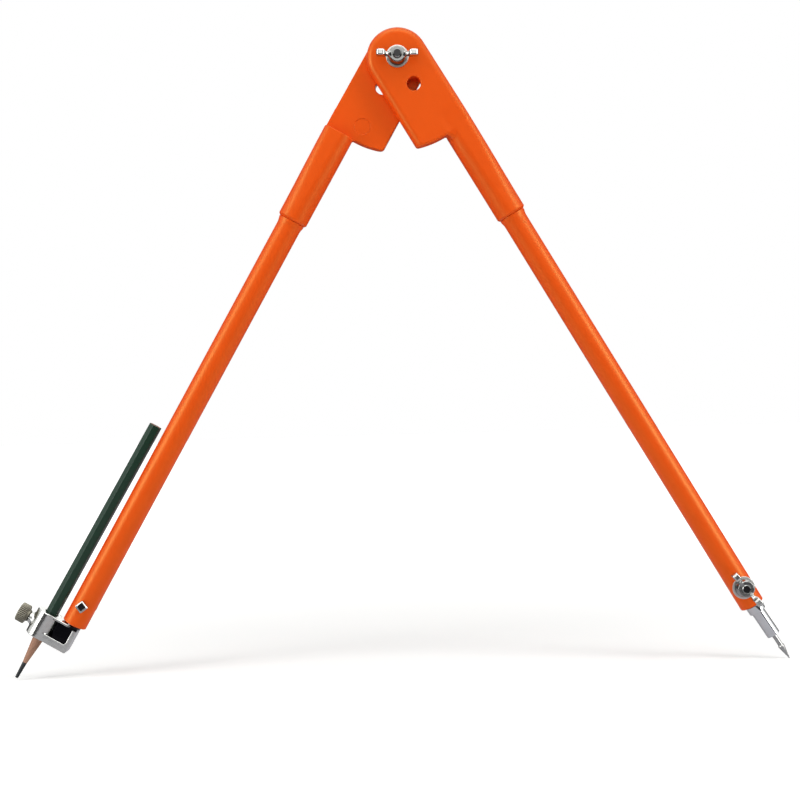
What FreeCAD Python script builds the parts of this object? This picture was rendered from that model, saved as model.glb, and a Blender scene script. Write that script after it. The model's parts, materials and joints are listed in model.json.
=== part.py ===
import FreeCAD, Part
import math
import os
import Sketcher
from FreeCAD import Placement, Rotation, Vector

# Carpenter's folding compass: two tubular plastic legs on a half-lap hinge, a needle in the right leg's
# end and a pencil clamp on the left leg's end. The hinge axis is the Y axis, on the meeting plane of the
# two hinge plates. +Z is up, +X is the needle side and -Y is the front.
# A distance called a reach is measured from the hinge axis down along a leg.

SIZES = [
    ("legs_opening", 60.0, "angle between the legs, degrees"),
    ("head_radius", 18.5, "round end of a hinge plate, also its inner side from the hinge axis"),
    ("plate_reach", 55.4, "lower arc of a hinge plate, round the hinge axis"),
    ("plate_proud", 0.4, "how far a plate's outer face stands over the sleeve"),
    ("plate_edge_round", 4.5, "rounding of a plate's outer edges along its head and sides"),
    ("plate_toe_round", 1.2, "rounding of a plate's outer edge along its lower arc"),
    ("mating_gap", 0.1, "gap between the two hinge plates"),
    ("swing_gap", 0.5, "gap between a plate's arc and the other arm's straight step"),
    ("leg_offset", 9.9, "leg axis outward of the line through the hinge axis"),
    ("sleeve_radius", 9.25, "outside of the sleeve that holds the tube"),
    ("sleeve_reach", 116.6, "lower end of the sleeve"),
    ("sleeve_root", 12.0, "how far the sleeve runs up inside the plate"),
    ("sleeve_bevel", 1.4, "bevel of the sleeve's lower rim"),
    ("socket_depth", 47.0, "depth of the tube's socket in the sleeve"),
    ("socket_gap", 0.05, "gap round the tube in its socket"),
    ("peg_hole_radius", 4.25, "through hole below the hinge"),
    ("peg_hole_reach", 18.9, "through hole's centre"),
    ("peg_hole_bevel", 0.5, "bevel of the through hole's mouth"),
    ("ejector_radius", 5.0, "round ejector mark on the mating face"),
    ("ejector_reach", 45.6, "ejector mark's centre"),
    ("ejector_side", 0.5, "ejector mark's centre, inward of the middle line"),
    ("ejector_depth", 0.3, "depth of the ejector mark"),
    ("tube_radius", 7.45, "outside of a leg tube"),
    ("tube_wall", 1.5, "wall of a leg tube"),
    ("tube_reach", 393.6, "lower end of a leg tube"),
    ("tube_rim_round", 0.7, "rounding of the tube's lower rim"),
    ("stop_ring_rise", 0.8, "stop ring under the sleeve, over the tube"),
    ("stop_ring_length", 3.4, "taper of the stop ring"),
    ("clamp_inset", 13.0, "cross bolt above the tube's lower end"),
    ("bolt_radius", 2.5, "shank of the three bolts"),
    ("running_gap", 0.05, "radial clearance of a bolt in its hole"),
    ("bolt_head_width", 5.6, "side of a bolt's square head"),
    ("bolt_head_height", 3.0, "height of a bolt's square head"),
    ("bolt_head_bevel", 0.6, "bevel round a bolt head's top"),
    ("bolt_head_turn", 25.0, "turn of a bolt head against its leg, degrees"),
    ("hinge_bolt_rise", 2.5, "hinge bolt's end over the top of its nut"),
    ("clamp_bolt_rise", 0.5, "cross bolt's end over the top of its nut"),
    ("washer_radius", 6.8, "outside of a washer"),
    ("washer_thickness", 1.0, "thickness of a washer"),
    ("washer_seat_gap", 0.05, "gap between a flat washer and the round tube"),
    ("nut_foot_radius", 5.6, "foot of a wing nut"),
    ("nut_foot_height", 1.2, "straight part of a wing nut's foot"),
    ("nut_top_radius", 4.8, "top of a wing nut's hub"),
    ("nut_height", 6.8, "height of a wing nut's hub"),
    ("wing_span", 25.0, "over both wings"),
    ("wing_height", 12.0, "top of the wings over the foot"),
    ("wing_pad_length", 5.2, "thick end of a wing, along the span"),
    ("wing_pad_height", 6.6, "thick end of a wing, along the bolt"),
    ("wing_pad_thickness", 3.6, "thick end of a wing"),
    ("wing_web_thickness", 2.2, "thin part of a wing next to the hub"),
    ("wing_edge_round", 1.0, "rounding of the wing pads"),
    ("hinge_nut_turn", -1.65, "turn of the hinge nut's wings, degrees"),
    ("clamp_nut_turn", -80.0, "turn of a leg nut's wings against the leg, degrees"),
    ("spigot_radius", 4.7, "spigot of a tip holder inside the tube"),
    ("spigot_rise", 18.0, "spigot's top above the cross bolt"),
    ("needle_tilt", 2.5, "outward lean of the needle holder on its bolt, degrees"),
    ("collar_gap", 0.5, "tube end to the holder's collar"),
    ("collar_radius", 5.3, "collar of the needle holder"),
    ("collar_length", 4.8, "length of that collar"),
    ("barrel_radius", 4.1, "polished barrel of the needle holder"),
    ("barrel_length", 17.1, "length of that barrel"),
    ("barrel_bevel", 0.4, "bevel of the barrel's end"),
    ("needle_radius", 1.5, "shank of the needle"),
    ("needle_grip", 10.0, "length of needle held in the barrel"),
    ("needle_shank", 8.2, "length of bare shank"),
    ("needle_cone_radius", 2.0, "widest part of the needle's point"),
    ("needle_cone_length", 9.2, "length of the needle's point"),
    ("needle_tip_radius", 0.15, "blunted end of the needle's point"),
    ("pencil_tilt", 0.6, "outward lean of the pencil holder on its bolt, degrees"),
    ("block_gap", 0.8, "tube end to the pencil holder's block"),
    ("block_height", 16.5, "height of the block along the leg"),
    ("block_half_depth", 7.0, "half the block's depth, front to back"),
    ("block_inner_side", 4.3, "block's inner face, inward of the tube's axis"),
    ("block_edge_round", 0.8, "rounding of the block's inner corners"),
    ("pocket_floor", 4.0, "web left between the front and rear pockets"),
    ("pocket_top_wall", 1.5, "wall above a pocket"),
    ("pocket_side_wall", 2.5, "wall beside a pocket"),
    ("pocket_bottom_wall", 4.8, "wall below a pocket"),
    ("channel_radius", 7.6, "outside of the pencil channel"),
    ("channel_shift", 1.1, "channel's axis outward of the pencil's axis"),
    ("pencil_offset", 14.9, "pencil's axis outward of the tube's axis"),
    ("pencil_slip", 0.3, "gap round the pencil's corners in the channel"),
    ("boss_foot_radius", 5.2, "foot of the thumb screw's boss"),
    ("boss_top_radius", 3.4, "top of the thumb screw's boss"),
    ("boss_rise", 2.2, "boss above the channel's outside"),
    ("screw_radius", 2.0, "thumb screw's thread"),
    ("knob_gap", 0.3, "boss to the knob's neck"),
    ("knob_neck_radius", 3.7, "neck of the knob"),
    ("knob_neck_length", 1.3, "length of the knob's neck"),
    ("knob_radius", 5.9, "outside of the knob"),
    ("knob_length", 5.5, "length of the knob's knurled part"),
    ("knob_bevel", 0.6, "bevel of the knob's rims"),
    ("knurl_count", 32.0, "grooves round the knob"),
    ("knurl_depth", 0.45, "depth of a groove"),
    ("knob_cap", 1.0, "knob's outer wall over the stud's end"),
    ("pencil_flats", 6.9, "pencil across its flats"),
    ("pencil_turn", 48.0, "turn of the pencil's flats, degrees"),
    ("pencil_length", 174.5, "pencil with its point"),
    ("pencil_tip_drop", 58.5, "pencil's tip below the cross bolt"),
    ("lead_radius", 1.4, "pencil's lead"),
    ("lead_bare", 10.6, "length of bare lead"),
    ("lead_tip_radius", 0.95, "blunt end of the lead"),
    ("wood_cone_length", 22.5, "sharpened wood, up to the pencil's corners"),
]


class Size:
    """A length or angle with its value and the same thing as an expression on the sheet."""

    def __init__(self, text, value):
        self.text = text
        self.value = value

    def __add__(self, other):
        return combine(self, "+", other, lambda a, b: a + b)

    def __radd__(self, other):
        return as_size(other) + self

    def __sub__(self, other):
        return combine(self, "-", other, lambda a, b: a - b)

    def __rsub__(self, other):
        return as_size(other) - self

    def __mul__(self, other):
        return combine(self, "*", other, lambda a, b: a * b)

    def __rmul__(self, other):
        return as_size(other) * self

    def __truediv__(self, other):
        return combine(self, "/", other, lambda a, b: a / b)

    def __neg__(self):
        return Size("(0 - %s)" % self.text, -self.value)


def as_size(thing):
    if isinstance(thing, Size):
        return thing
    return Size(repr(float(thing)), float(thing))


def combine(left, sign, right, rule):
    right = as_size(right)
    return Size("(%s %s %s)" % (left.text, sign, right.text), rule(left.value, right.value))


def make_sheet(doc):
    """Fill the spreadsheet and return each alias as a Size."""
    sheet = doc.addObject("Spreadsheet::Sheet", "Sizes")
    found = {}
    for row, (alias, value, note) in enumerate(SIZES, start=1):
        sheet.set("A%d" % row, alias)
        sheet.set("B%d" % row, str(value))
        sheet.set("C%d" % row, note)
        sheet.setAlias("B%d" % row, alias)
        found[alias] = Size("Sizes.%s" % alias, value)
    doc.recompute()
    return found


# Sketch and feature helpers

def bind(thing, prop, size):
    thing.setExpression(prop, as_size(size).text)


def new_body(doc, label):
    body = doc.addObject("PartDesign::Body", label)
    body.Label = label
    return body


def new_sketch(body, name, role, shift=None):
    """A sketch on the body's own XY, XZ or YZ plane, moved along that plane's normal by shift."""
    plane = next(f for f in body.Origin.OriginFeatures if f.Role == role)
    sketch = body.newObject("Sketcher::SketchObject", name)
    sketch.AttachmentSupport = [(plane, "")]
    sketch.MapMode = "FlatFace"
    if shift is not None:
        bind(sketch, "AttachmentOffset.Base.z", shift)
    return sketch


def pin_coordinate(sketch, kind, axis, geo, vertex, size):
    """Hold one coordinate of a sketch point: on the other axis where it is zero, else by a distance."""
    size = as_size(size)
    if size.value == 0:
        sketch.addConstraint(Sketcher.Constraint("PointOnObject", geo, vertex, axis))
        return
    if size.value > 0:
        rule = Sketcher.Constraint(kind, -1, 1, geo, vertex, size.value)
        text = size.text
    else:
        rule = Sketcher.Constraint(kind, geo, vertex, -1, 1, -size.value)
        text = (-size).text
    index = sketch.addConstraint(rule)
    sketch.setExpression("Constraints[%d]" % index, text)


def pin_point(sketch, geo, vertex, x, y):
    pin_coordinate(sketch, "DistanceX", -2, geo, vertex, x)
    pin_coordinate(sketch, "DistanceY", -1, geo, vertex, y)


def draw_polygon(sketch, points):
    """A closed outline of straight lines through points, each a pair of Sizes."""
    spots = [Vector(as_size(x).value, as_size(y).value, 0) for x, y in points]
    first = sketch.GeometryCount
    count = len(points)
    for i in range(count):
        sketch.addGeometry(Part.LineSegment(spots[i], spots[(i + 1) % count]))
    for i in range(count):
        sketch.addConstraint(Sketcher.Constraint("Coincident", first + i, 2, first + (i + 1) % count, 1))
    for i, (x, y) in enumerate(points):
        pin_point(sketch, first + i, 1, x, y)


def draw_circle(sketch, x, y, radius):
    middle = Vector(as_size(x).value, as_size(y).value, 0)
    geo = sketch.addGeometry(Part.Circle(middle, Vector(0, 0, 1), radius.value))
    pin_point(sketch, geo, 3, x, y)
    index = sketch.addConstraint(Sketcher.Constraint("Radius", geo, radius.value))
    sketch.setExpression("Constraints[%d]" % index, radius.text)


def turn_profile(body, name, points):
    """Revolve an outline of (radius, height) points about the body's Z axis."""
    sketch = new_sketch(body, name + "_profile", "XZ_Plane")
    draw_polygon(sketch, points)
    turned = body.newObject("PartDesign::Revolution", name)
    turned.Profile = sketch
    turned.ReferenceAxis = (sketch, ["V_Axis"])
    turned.Angle = 360
    return turned


def pad(body, name, sketch, length, symmetric=False, reverse=False):
    grown = body.newObject("PartDesign::Pad", name)
    grown.Profile = sketch
    bind(grown, "Length", length)
    if symmetric:
        grown.SideType = "Symmetric"
    grown.Reversed = reverse
    return grown


def pocket(doc, body, name, sketch, length=None, symmetric=False, reverse=False):
    """Cut a sketch out of the body, by a length or right through, and check that it cuts something."""
    doc.recompute()
    before = body.Shape.Volume
    cut = body.newObject("PartDesign::Pocket", name)
    cut.Profile = sketch
    if length is None:
        cut.Type = "ThroughAll"
    else:
        bind(cut, "Length", length)
    if symmetric:
        cut.SideType = "Symmetric"
    cut.Reversed = reverse
    doc.recompute()
    if body.Shape.Volume >= before:
        raise RuntimeError("%s of %s cuts nothing" % (name, body.Label))
    return cut


def dress_edges(doc, body, kind, name, prop, size, wanted):
    """Round or bevel the edges of the body's newest feature that the test picks."""
    doc.recompute()
    base = body.Tip
    names = ["Edge%d" % (i + 1) for i, edge in enumerate(base.Shape.Edges) if wanted(edge)]
    if not names:
        raise RuntimeError("%s of %s finds no edge" % (name, body.Label))
    dressed = body.newObject(kind, name)
    dressed.Base = (base, names)
    bind(dressed, prop, size)
    return dressed


def near(a, b):
    return abs(a - b) < 1e-4


def cross_hole(doc, body, name, x, z, radius):
    """A hole right through the body, front to back."""
    sketch = new_sketch(body, name + "_circle", "XZ_Plane")
    draw_circle(sketch, x, z, radius)
    pocket(doc, body, name, sketch, symmetric=True)


# The moulded arm heads

def draw_plate(sketch, dim):
    """Plate outline: half circle over the hinge, a straight inner side, an arc round the hinge below, and
    an outer side that runs out to the sleeve's outer edge."""
    radius = dim["head_radius"]
    reach = dim["plate_reach"]
    edge = dim["leg_offset"] + dim["sleeve_radius"]
    axis = Vector(0, 0, 1)
    small = Part.Circle(Vector(), axis, radius.value)
    large = Part.Circle(Vector(), axis, reach.value)
    start = 1.5 * math.pi - math.asin(radius.value / reach.value)
    stop = 1.5 * math.pi + math.asin(edge.value / reach.value)
    left = Vector(-radius.value, 0, 0)
    right = Vector(radius.value, 0, 0)
    low_left = Vector(reach.value * math.cos(start), reach.value * math.sin(start), 0)
    low_right = Vector(reach.value * math.cos(stop), reach.value * math.sin(stop), 0)
    top = sketch.addGeometry(Part.ArcOfCircle(small, 0, math.pi))
    inner = sketch.addGeometry(Part.LineSegment(left, low_left))
    base = sketch.addGeometry(Part.ArcOfCircle(large, start, stop))
    outer = sketch.addGeometry(Part.LineSegment(low_right, right))
    for geo, other in ((top, inner), (inner, base), (base, outer), (outer, top)):
        sketch.addConstraint(Sketcher.Constraint("Coincident", geo, 2, other, 1))
    for arc, size in ((top, radius), (base, reach)):
        sketch.addConstraint(Sketcher.Constraint("Coincident", arc, 3, -1, 1))
        index = sketch.addConstraint(Sketcher.Constraint("Radius", arc, size.value))
        sketch.setExpression("Constraints[%d]" % index, size.text)
    sketch.addConstraint(Sketcher.Constraint("PointOnObject", top, 1, -1))
    sketch.addConstraint(Sketcher.Constraint("PointOnObject", top, 2, -1))
    sketch.addConstraint(Sketcher.Constraint("Vertical", inner))
    index = sketch.addConstraint(Sketcher.Constraint("DistanceX", -1, 1, outer, 1, edge.value))
    sketch.setExpression("Constraints[%d]" % index, edge.text)


def make_arm_head(doc, dim, label):
    """One arm's moulding: a hinge plate of half depth in front, and the full sleeve below it."""
    body = new_body(doc, label)
    half_gap = dim["mating_gap"] / 2
    face = dim["sleeve_radius"] + dim["plate_proud"]
    outline = new_sketch(body, "plate_outline", "XZ_Plane", half_gap)
    draw_plate(outline, dim)
    pad(body, "plate", outline, face - half_gap)
    dress_edges(doc, body, "PartDesign::Fillet", "side_rounding", "Radius", dim["plate_edge_round"],
                lambda edge: near(edge.BoundBox.YMax, -face.value) and not is_toe(edge, dim))
    dress_edges(doc, body, "PartDesign::Fillet", "toe_rounding", "Radius", dim["plate_toe_round"],
                lambda edge: near(edge.BoundBox.YMax, -face.value) and is_toe(edge, dim))

    ring = new_sketch(body, "sleeve_ring", "XY_Plane", -dim["sleeve_reach"])
    draw_circle(ring, dim["leg_offset"], 0, dim["sleeve_radius"])
    pad(body, "sleeve", ring, dim["sleeve_reach"] - dim["plate_reach"] + dim["sleeve_root"])
    swing = new_sketch(body, "swing_outline", "XZ_Plane", half_gap)
    over = dim["sleeve_radius"] + dim["mating_gap"]
    step = -(dim["plate_reach"] + dim["swing_gap"])
    crown = -(dim["plate_reach"] - dim["sleeve_root"] - dim["mating_gap"])
    draw_polygon(swing, [
        (dim["leg_offset"] - over, step),
        (dim["leg_offset"] + over, step),
        (dim["leg_offset"] + over, crown),
        (dim["leg_offset"] - over, crown),
    ])
    pocket(doc, body, "swing_room", swing, over)
    mouth = new_sketch(body, "socket_circle", "XY_Plane", -dim["sleeve_reach"])
    draw_circle(mouth, dim["leg_offset"], 0, dim["tube_radius"] + dim["socket_gap"])
    pocket(doc, body, "tube_socket", mouth, dim["socket_depth"], reverse=True)
    dress_edges(doc, body, "PartDesign::Chamfer", "sleeve_rim", "Size", dim["sleeve_bevel"],
                lambda edge: is_low_rim(edge, dim["sleeve_reach"], dim["sleeve_radius"]))

    cross_hole(doc, body, "pivot_hole", 0, 0, dim["bolt_radius"] + dim["running_gap"])
    cross_hole(doc, body, "peg_hole", 0, -dim["peg_hole_reach"], dim["peg_hole_radius"])
    dress_edges(doc, body, "PartDesign::Chamfer", "peg_hole_mouth", "Size", dim["peg_hole_bevel"],
                lambda edge: is_front_circle(edge, face, dim["peg_hole_radius"]))
    mark = new_sketch(body, "ejector_circle", "XZ_Plane", half_gap)
    draw_circle(mark, -dim["ejector_side"], -dim["ejector_reach"], dim["ejector_radius"])
    pocket(doc, body, "ejector_mark", mark, dim["ejector_depth"], reverse=True)
    return body


def is_circle(edge, radius):
    return hasattr(edge.Curve, "Radius") and near(edge.Curve.Radius, radius.value)


def is_front_circle(edge, face, radius):
    return near(edge.BoundBox.YMax, -face.value) and is_circle(edge, radius)


def is_toe(edge, dim):
    """True for an edge that runs along the plate's lower arc."""
    return is_circle(edge, dim["plate_reach"])


def is_low_rim(edge, reach, radius):
    return near(edge.BoundBox.ZMax, -reach.value) and is_circle(edge, radius)


# The legs

def make_leg_tube(doc, dim, label):
    """Plastic tube about its own axis, with the tapered ring that stops it in the sleeve."""
    body = new_body(doc, label)
    radius = dim["tube_radius"]
    bore = radius - dim["tube_wall"]
    top = -(dim["sleeve_reach"] - dim["socket_depth"])
    shoulder = -dim["sleeve_reach"]
    turn_profile(body, "tube", [
        (bore, top),
        (radius, top),
        (radius, shoulder),
        (radius + dim["stop_ring_rise"], shoulder),
        (radius, shoulder - dim["stop_ring_length"]),
        (radius, -dim["tube_reach"]),
        (bore, -dim["tube_reach"]),
    ])
    dress_edges(doc, body, "PartDesign::Fillet", "rim_rounding", "Radius", dim["tube_rim_round"],
                lambda edge: is_low_rim(edge, dim["tube_reach"], radius))
    cross_hole(doc, body, "bolt_hole", 0, clamp_height(dim), dim["bolt_radius"] + dim["running_gap"])
    return body


def clamp_height(dim):
    return -(dim["tube_reach"] - dim["clamp_inset"])


# Bolts, washers and wing nuts, each about its own Z axis

def make_washer(doc, dim, label):
    body = new_body(doc, label)
    inside = dim["bolt_radius"] + dim["running_gap"]
    thickness = dim["washer_thickness"]
    turn_profile(body, "ring", [
        (inside, 0),
        (dim["washer_radius"], 0),
        (dim["washer_radius"], thickness),
        (inside, thickness),
    ])
    return body


def make_bolt(doc, dim, label, length):
    """Square-headed bolt: the head below the origin plane, the shank above it."""
    body = new_body(doc, label)
    half = dim["bolt_head_width"] / 2
    head = new_sketch(body, "head_square", "XY_Plane")
    draw_polygon(head, [(-half, -half), (half, -half), (half, half), (-half, half)])
    pad(body, "head", head, dim["bolt_head_height"], reverse=True)
    dress_edges(doc, body, "PartDesign::Chamfer", "head_bevel", "Size", dim["bolt_head_bevel"],
                lambda edge: near(edge.BoundBox.ZMax, -dim["bolt_head_height"].value))
    root = -dim["bolt_head_height"] / 2
    turn_profile(body, "shank", [
        (0, root),
        (dim["bolt_radius"], root),
        (dim["bolt_radius"], length),
        (0, length),
    ])
    return body


def make_wing_nut(doc, dim, label):
    """Wing nut with its foot on the origin plane: tapered hub and two upswept wings with thick ends."""
    body = new_body(doc, label)
    top = dim["nut_height"]
    turn_profile(body, "hub", [
        (0, 0),
        (dim["nut_foot_radius"], 0),
        (dim["nut_foot_radius"], dim["nut_foot_height"]),
        (dim["nut_top_radius"], top),
        (0, top),
    ])
    tip = dim["wing_span"] / 2
    pad_start = tip - dim["wing_pad_length"]
    crown = dim["wing_height"]
    pad_low = crown - dim["wing_pad_height"]
    half_hub = dim["nut_top_radius"] / 2
    for side, sign in (("right", 1), ("left", -1)):
        web = new_sketch(body, side + "_web_outline", "XZ_Plane")
        draw_polygon(web, [
            (half_hub * sign, dim["nut_foot_height"]),
            (dim["nut_foot_radius"] * sign, dim["nut_foot_height"]),
            (tip * sign, pad_low + dim["wing_edge_round"]),
            (tip * sign, crown - dim["wing_edge_round"]),
            (pad_start * sign, crown - dim["wing_edge_round"]),
            (half_hub * sign, top),
        ])
        pad(body, side + "_web", web, dim["wing_web_thickness"], symmetric=True)
        block = new_sketch(body, side + "_pad_outline", "XZ_Plane")
        draw_polygon(block, [
            (pad_start * sign, pad_low),
            (tip * sign, pad_low),
            (tip * sign, crown),
            (pad_start * sign, crown),
        ])
        pad(body, side + "_pad", block, dim["wing_pad_thickness"], symmetric=True)
    half_pad = dim["wing_pad_thickness"].value / 2
    dress_edges(doc, body, "PartDesign::Fillet", "pad_rounding", "Radius", dim["wing_edge_round"],
                lambda edge: is_pad_edge(edge, tip.value, half_pad))
    bore = new_sketch(body, "thread_circle", "XY_Plane")
    draw_circle(bore, 0, 0, dim["bolt_radius"] + dim["running_gap"])
    pocket(doc, body, "thread_bore", bore, top, reverse=True)
    return body


def is_pad_edge(edge, tip, half_pad):
    """The four long edges of a wing pad that run across its thickness, at the wing's outer end."""
    box = edge.BoundBox
    across = near(box.YMin, -half_pad) and near(box.YMax, half_pad)
    return across and near(max(abs(box.XMin), abs(box.XMax)), tip)


# The needle end, about the tube's axis with its origin on the cross bolt

def collar_top(dim):
    return -(dim["clamp_inset"] + dim["collar_gap"])


def barrel_end(dim):
    return collar_top(dim) - dim["collar_length"] - dim["barrel_length"]


def make_needle_holder(doc, dim, label):
    body = new_body(doc, label)
    low = barrel_end(dim)
    collar_low = collar_top(dim) - dim["collar_length"]
    turn_profile(body, "holder", [
        (0, low + dim["needle_grip"]),
        (dim["needle_radius"], low + dim["needle_grip"]),
        (dim["needle_radius"], low),
        (dim["barrel_radius"] - dim["barrel_bevel"], low),
        (dim["barrel_radius"], low + dim["barrel_bevel"]),
        (dim["barrel_radius"], collar_low),
        (dim["collar_radius"], collar_low),
        (dim["collar_radius"], collar_top(dim)),
        (dim["spigot_radius"], collar_top(dim)),
        (dim["spigot_radius"], dim["spigot_rise"]),
        (0, dim["spigot_rise"]),
    ])
    cross_hole(doc, body, "bolt_hole", 0, 0, dim["bolt_radius"] + dim["running_gap"])
    return body


def make_needle_point(doc, dim, label):
    body = new_body(doc, label)
    low = barrel_end(dim)
    cone_top = low - dim["needle_shank"]
    shoulder = dim["needle_cone_radius"] - dim["needle_radius"]
    tip = cone_top - dim["needle_cone_length"]
    turn_profile(body, "needle", [
        (0, low + dim["needle_grip"]),
        (dim["needle_radius"], low + dim["needle_grip"]),
        (dim["needle_radius"], cone_top + shoulder),
        (dim["needle_cone_radius"], cone_top),
        (dim["needle_tip_radius"], tip),
        (0, tip),
    ])
    return body


# The pencil end, with its origin on the cross bolt and the pencil outward of the tube

def block_top(dim):
    return -(dim["clamp_inset"] + dim["block_gap"])


def screw_height(dim):
    return block_top(dim) - dim["block_height"] / 2


def channel_axis(dim):
    return dim["pencil_offset"] + dim["channel_shift"]


def boss_top(dim):
    return channel_axis(dim) + dim["channel_radius"] + dim["boss_rise"]


def pencil_corner(dim):
    return dim["pencil_flats"] / math.sqrt(3.0)


def make_pencil_holder(doc, dim, label):
    """Die casting: block with a pocket front and back, round pencil channel, boss and spigot."""
    body = new_body(doc, label)
    top = block_top(dim)
    low = top - dim["block_height"]
    inner = -dim["block_inner_side"]
    middle = channel_axis(dim)
    depth = dim["block_half_depth"]
    slab = new_sketch(body, "slab_outline", "XZ_Plane")
    draw_polygon(slab, [(inner, low), (middle, low), (middle, top), (inner, top)])
    pad(body, "slab", slab, depth * 2, symmetric=True)
    dress_edges(doc, body, "PartDesign::Fillet", "slab_rounding", "Radius", dim["block_edge_round"],
                lambda edge: near(edge.BoundBox.XMax, inner.value))
    hollow = depth - dim["pocket_floor"] / 2
    for name, start, reverse in (("front", depth, False), ("rear", -depth, True)):
        outline = new_sketch(body, name + "_pocket_outline", "XZ_Plane", start)
        draw_polygon(outline, [
            (inner + dim["pocket_side_wall"], low + dim["pocket_bottom_wall"]),
            (middle, low + dim["pocket_bottom_wall"]),
            (middle, top - dim["pocket_top_wall"]),
            (inner + dim["pocket_side_wall"], top - dim["pocket_top_wall"]),
        ])
        pocket(doc, body, name + "_pocket", outline, hollow, reverse=reverse)

    ring = new_sketch(body, "channel_circle", "XY_Plane", low)
    draw_circle(ring, middle, 0, dim["channel_radius"])
    pad(body, "channel", ring, dim["block_height"])
    boss = body.newObject("PartDesign::AdditiveCone", "boss")
    bind(boss, "Radius1", dim["boss_foot_radius"])
    bind(boss, "Radius2", dim["boss_top_radius"])
    foot = middle + dim["channel_radius"] / 2
    bind(boss, "Height", boss_top(dim) - foot)
    boss.Placement = at(foot.value, 0, screw_height(dim).value, about_y(90))
    stem = new_sketch(body, "spigot_circle", "XY_Plane", top)
    draw_circle(stem, 0, 0, dim["spigot_radius"])
    pad(body, "spigot", stem, dim["spigot_rise"] - top)

    bore = new_sketch(body, "pencil_circle", "XY_Plane", low)
    draw_circle(bore, dim["pencil_offset"], 0, pencil_corner(dim) + dim["pencil_slip"])
    pocket(doc, body, "pencil_bore", bore, dim["block_height"], reverse=True)
    thread = new_sketch(body, "screw_circle", "YZ_Plane", dim["pencil_offset"])
    draw_circle(thread, 0, screw_height(dim), dim["screw_radius"] + dim["running_gap"])
    pocket(doc, body, "screw_bore", thread, boss_top(dim) - dim["pencil_offset"], reverse=True)
    cross_hole(doc, body, "bolt_hole", 0, 0, dim["bolt_radius"] + dim["running_gap"])
    return body


def knob_start(dim):
    return boss_top(dim) + dim["knob_gap"]


def stud_end(dim):
    full = knob_start(dim) + dim["knob_neck_length"] + dim["knob_length"]
    return full - dim["knob_cap"]


def make_screw_stud(doc, dim, label):
    """Threaded stud along its own Z axis, from the pencil's corner circle into the knob."""
    body = new_body(doc, label)
    start = dim["pencil_offset"] + pencil_corner(dim) + dim["running_gap"]
    turn_profile(body, "stud", [
        (0, start),
        (dim["screw_radius"], start),
        (dim["screw_radius"], stud_end(dim)),
        (0, stud_end(dim)),
    ])
    return body


def make_screw_knob(doc, dim, label):
    """Knurled knob with a neck, bored for the stud."""
    body = new_body(doc, label)
    start = knob_start(dim)
    rim = start + dim["knob_neck_length"]
    end = rim + dim["knob_length"]
    bevel = dim["knob_bevel"]
    turn_profile(body, "knob", [
        (dim["screw_radius"], start),
        (dim["knob_neck_radius"], start),
        (dim["knob_neck_radius"], rim),
        (dim["knob_radius"] - bevel, rim),
        (dim["knob_radius"], rim + bevel),
        (dim["knob_radius"], end - bevel),
        (dim["knob_radius"] - bevel, end),
        (0, end),
        (0, stud_end(dim)),
        (dim["screw_radius"], stud_end(dim)),
    ])
    groove = new_sketch(body, "knurl_outline", "XY_Plane", rim)
    depth = dim["knurl_depth"]
    over = dim["knob_radius"] + depth
    draw_polygon(groove, [(dim["knob_radius"] - depth, 0), (over, depth * 2), (over, -depth * 2)])
    cut = pocket(doc, body, "knurl", groove, dim["knob_length"], reverse=True)
    grooves = body.newObject("PartDesign::PolarPattern", "knurling")
    grooves.Originals = [cut]
    grooves.Axis = (groove, ["N_Axis"])
    grooves.Angle = 360
    bind(grooves, "Occurrences", dim["knurl_count"])
    body.Tip = grooves
    return body


def casing_end(dim):
    return -(dim["pencil_tip_drop"] - dim["lead_bare"])


def pencil_top(dim):
    return dim["pencil_length"] - dim["pencil_tip_drop"]


def make_pencil_casing(doc, dim, label):
    """Hexagonal wooden casing round the lead, sharpened to a cone below."""
    body = new_body(doc, label)
    corner = pencil_corner(dim)
    half_flats = dim["pencil_flats"] / 2
    outline = new_sketch(body, "hexagon", "XY_Plane", casing_end(dim))
    draw_polygon(outline, [
        (corner, 0), (corner / 2, half_flats), (-corner / 2, half_flats),
        (-corner, 0), (-corner / 2, -half_flats), (corner / 2, -half_flats),
    ])
    pad(body, "casing", outline, pencil_top(dim) - casing_end(dim))
    bore = new_sketch(body, "lead_circle", "XY_Plane", casing_end(dim))
    draw_circle(bore, 0, 0, dim["lead_radius"])
    pocket(doc, body, "lead_bore", bore, pencil_top(dim) - casing_end(dim), reverse=True)
    widen = (dim["pencil_flats"] - corner) / (corner - dim["lead_radius"])
    over = dim["pencil_flats"]
    shave = new_sketch(body, "shaving_outline", "XZ_Plane")
    draw_polygon(shave, [
        (dim["lead_radius"], casing_end(dim)),
        (over, casing_end(dim)),
        (over, casing_end(dim) + dim["wood_cone_length"] * (1 + widen)),
    ])
    doc.recompute()
    before = body.Shape.Volume
    groove = body.newObject("PartDesign::Groove", "sharpening")
    groove.Profile = shave
    groove.ReferenceAxis = (shave, ["V_Axis"])
    groove.Angle = 360
    doc.recompute()
    if body.Shape.Volume >= before:
        raise RuntimeError("the sharpening cuts nothing")
    return body


def make_pencil_lead(doc, dim, label):
    body = new_body(doc, label)
    turn_profile(body, "lead", [
        (0, -dim["pencil_tip_drop"]),
        (dim["lead_tip_radius"], -dim["pencil_tip_drop"]),
        (dim["lead_radius"], casing_end(dim)),
        (dim["lead_radius"], pencil_top(dim)),
        (0, pencil_top(dim)),
    ])
    return body


# Places

FORWARD = Rotation(Vector(1, 0, 0), 90)
BACKWARD = Rotation(Vector(1, 0, 0), -90)


def about_y(angle):
    return Rotation(Vector(0, 1, 0), angle)


def about_z(angle):
    return Rotation(Vector(0, 0, 1), angle)


def at(x, y, z, rotation=Rotation()):
    return Placement(Vector(x, y, z), rotation)


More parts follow.
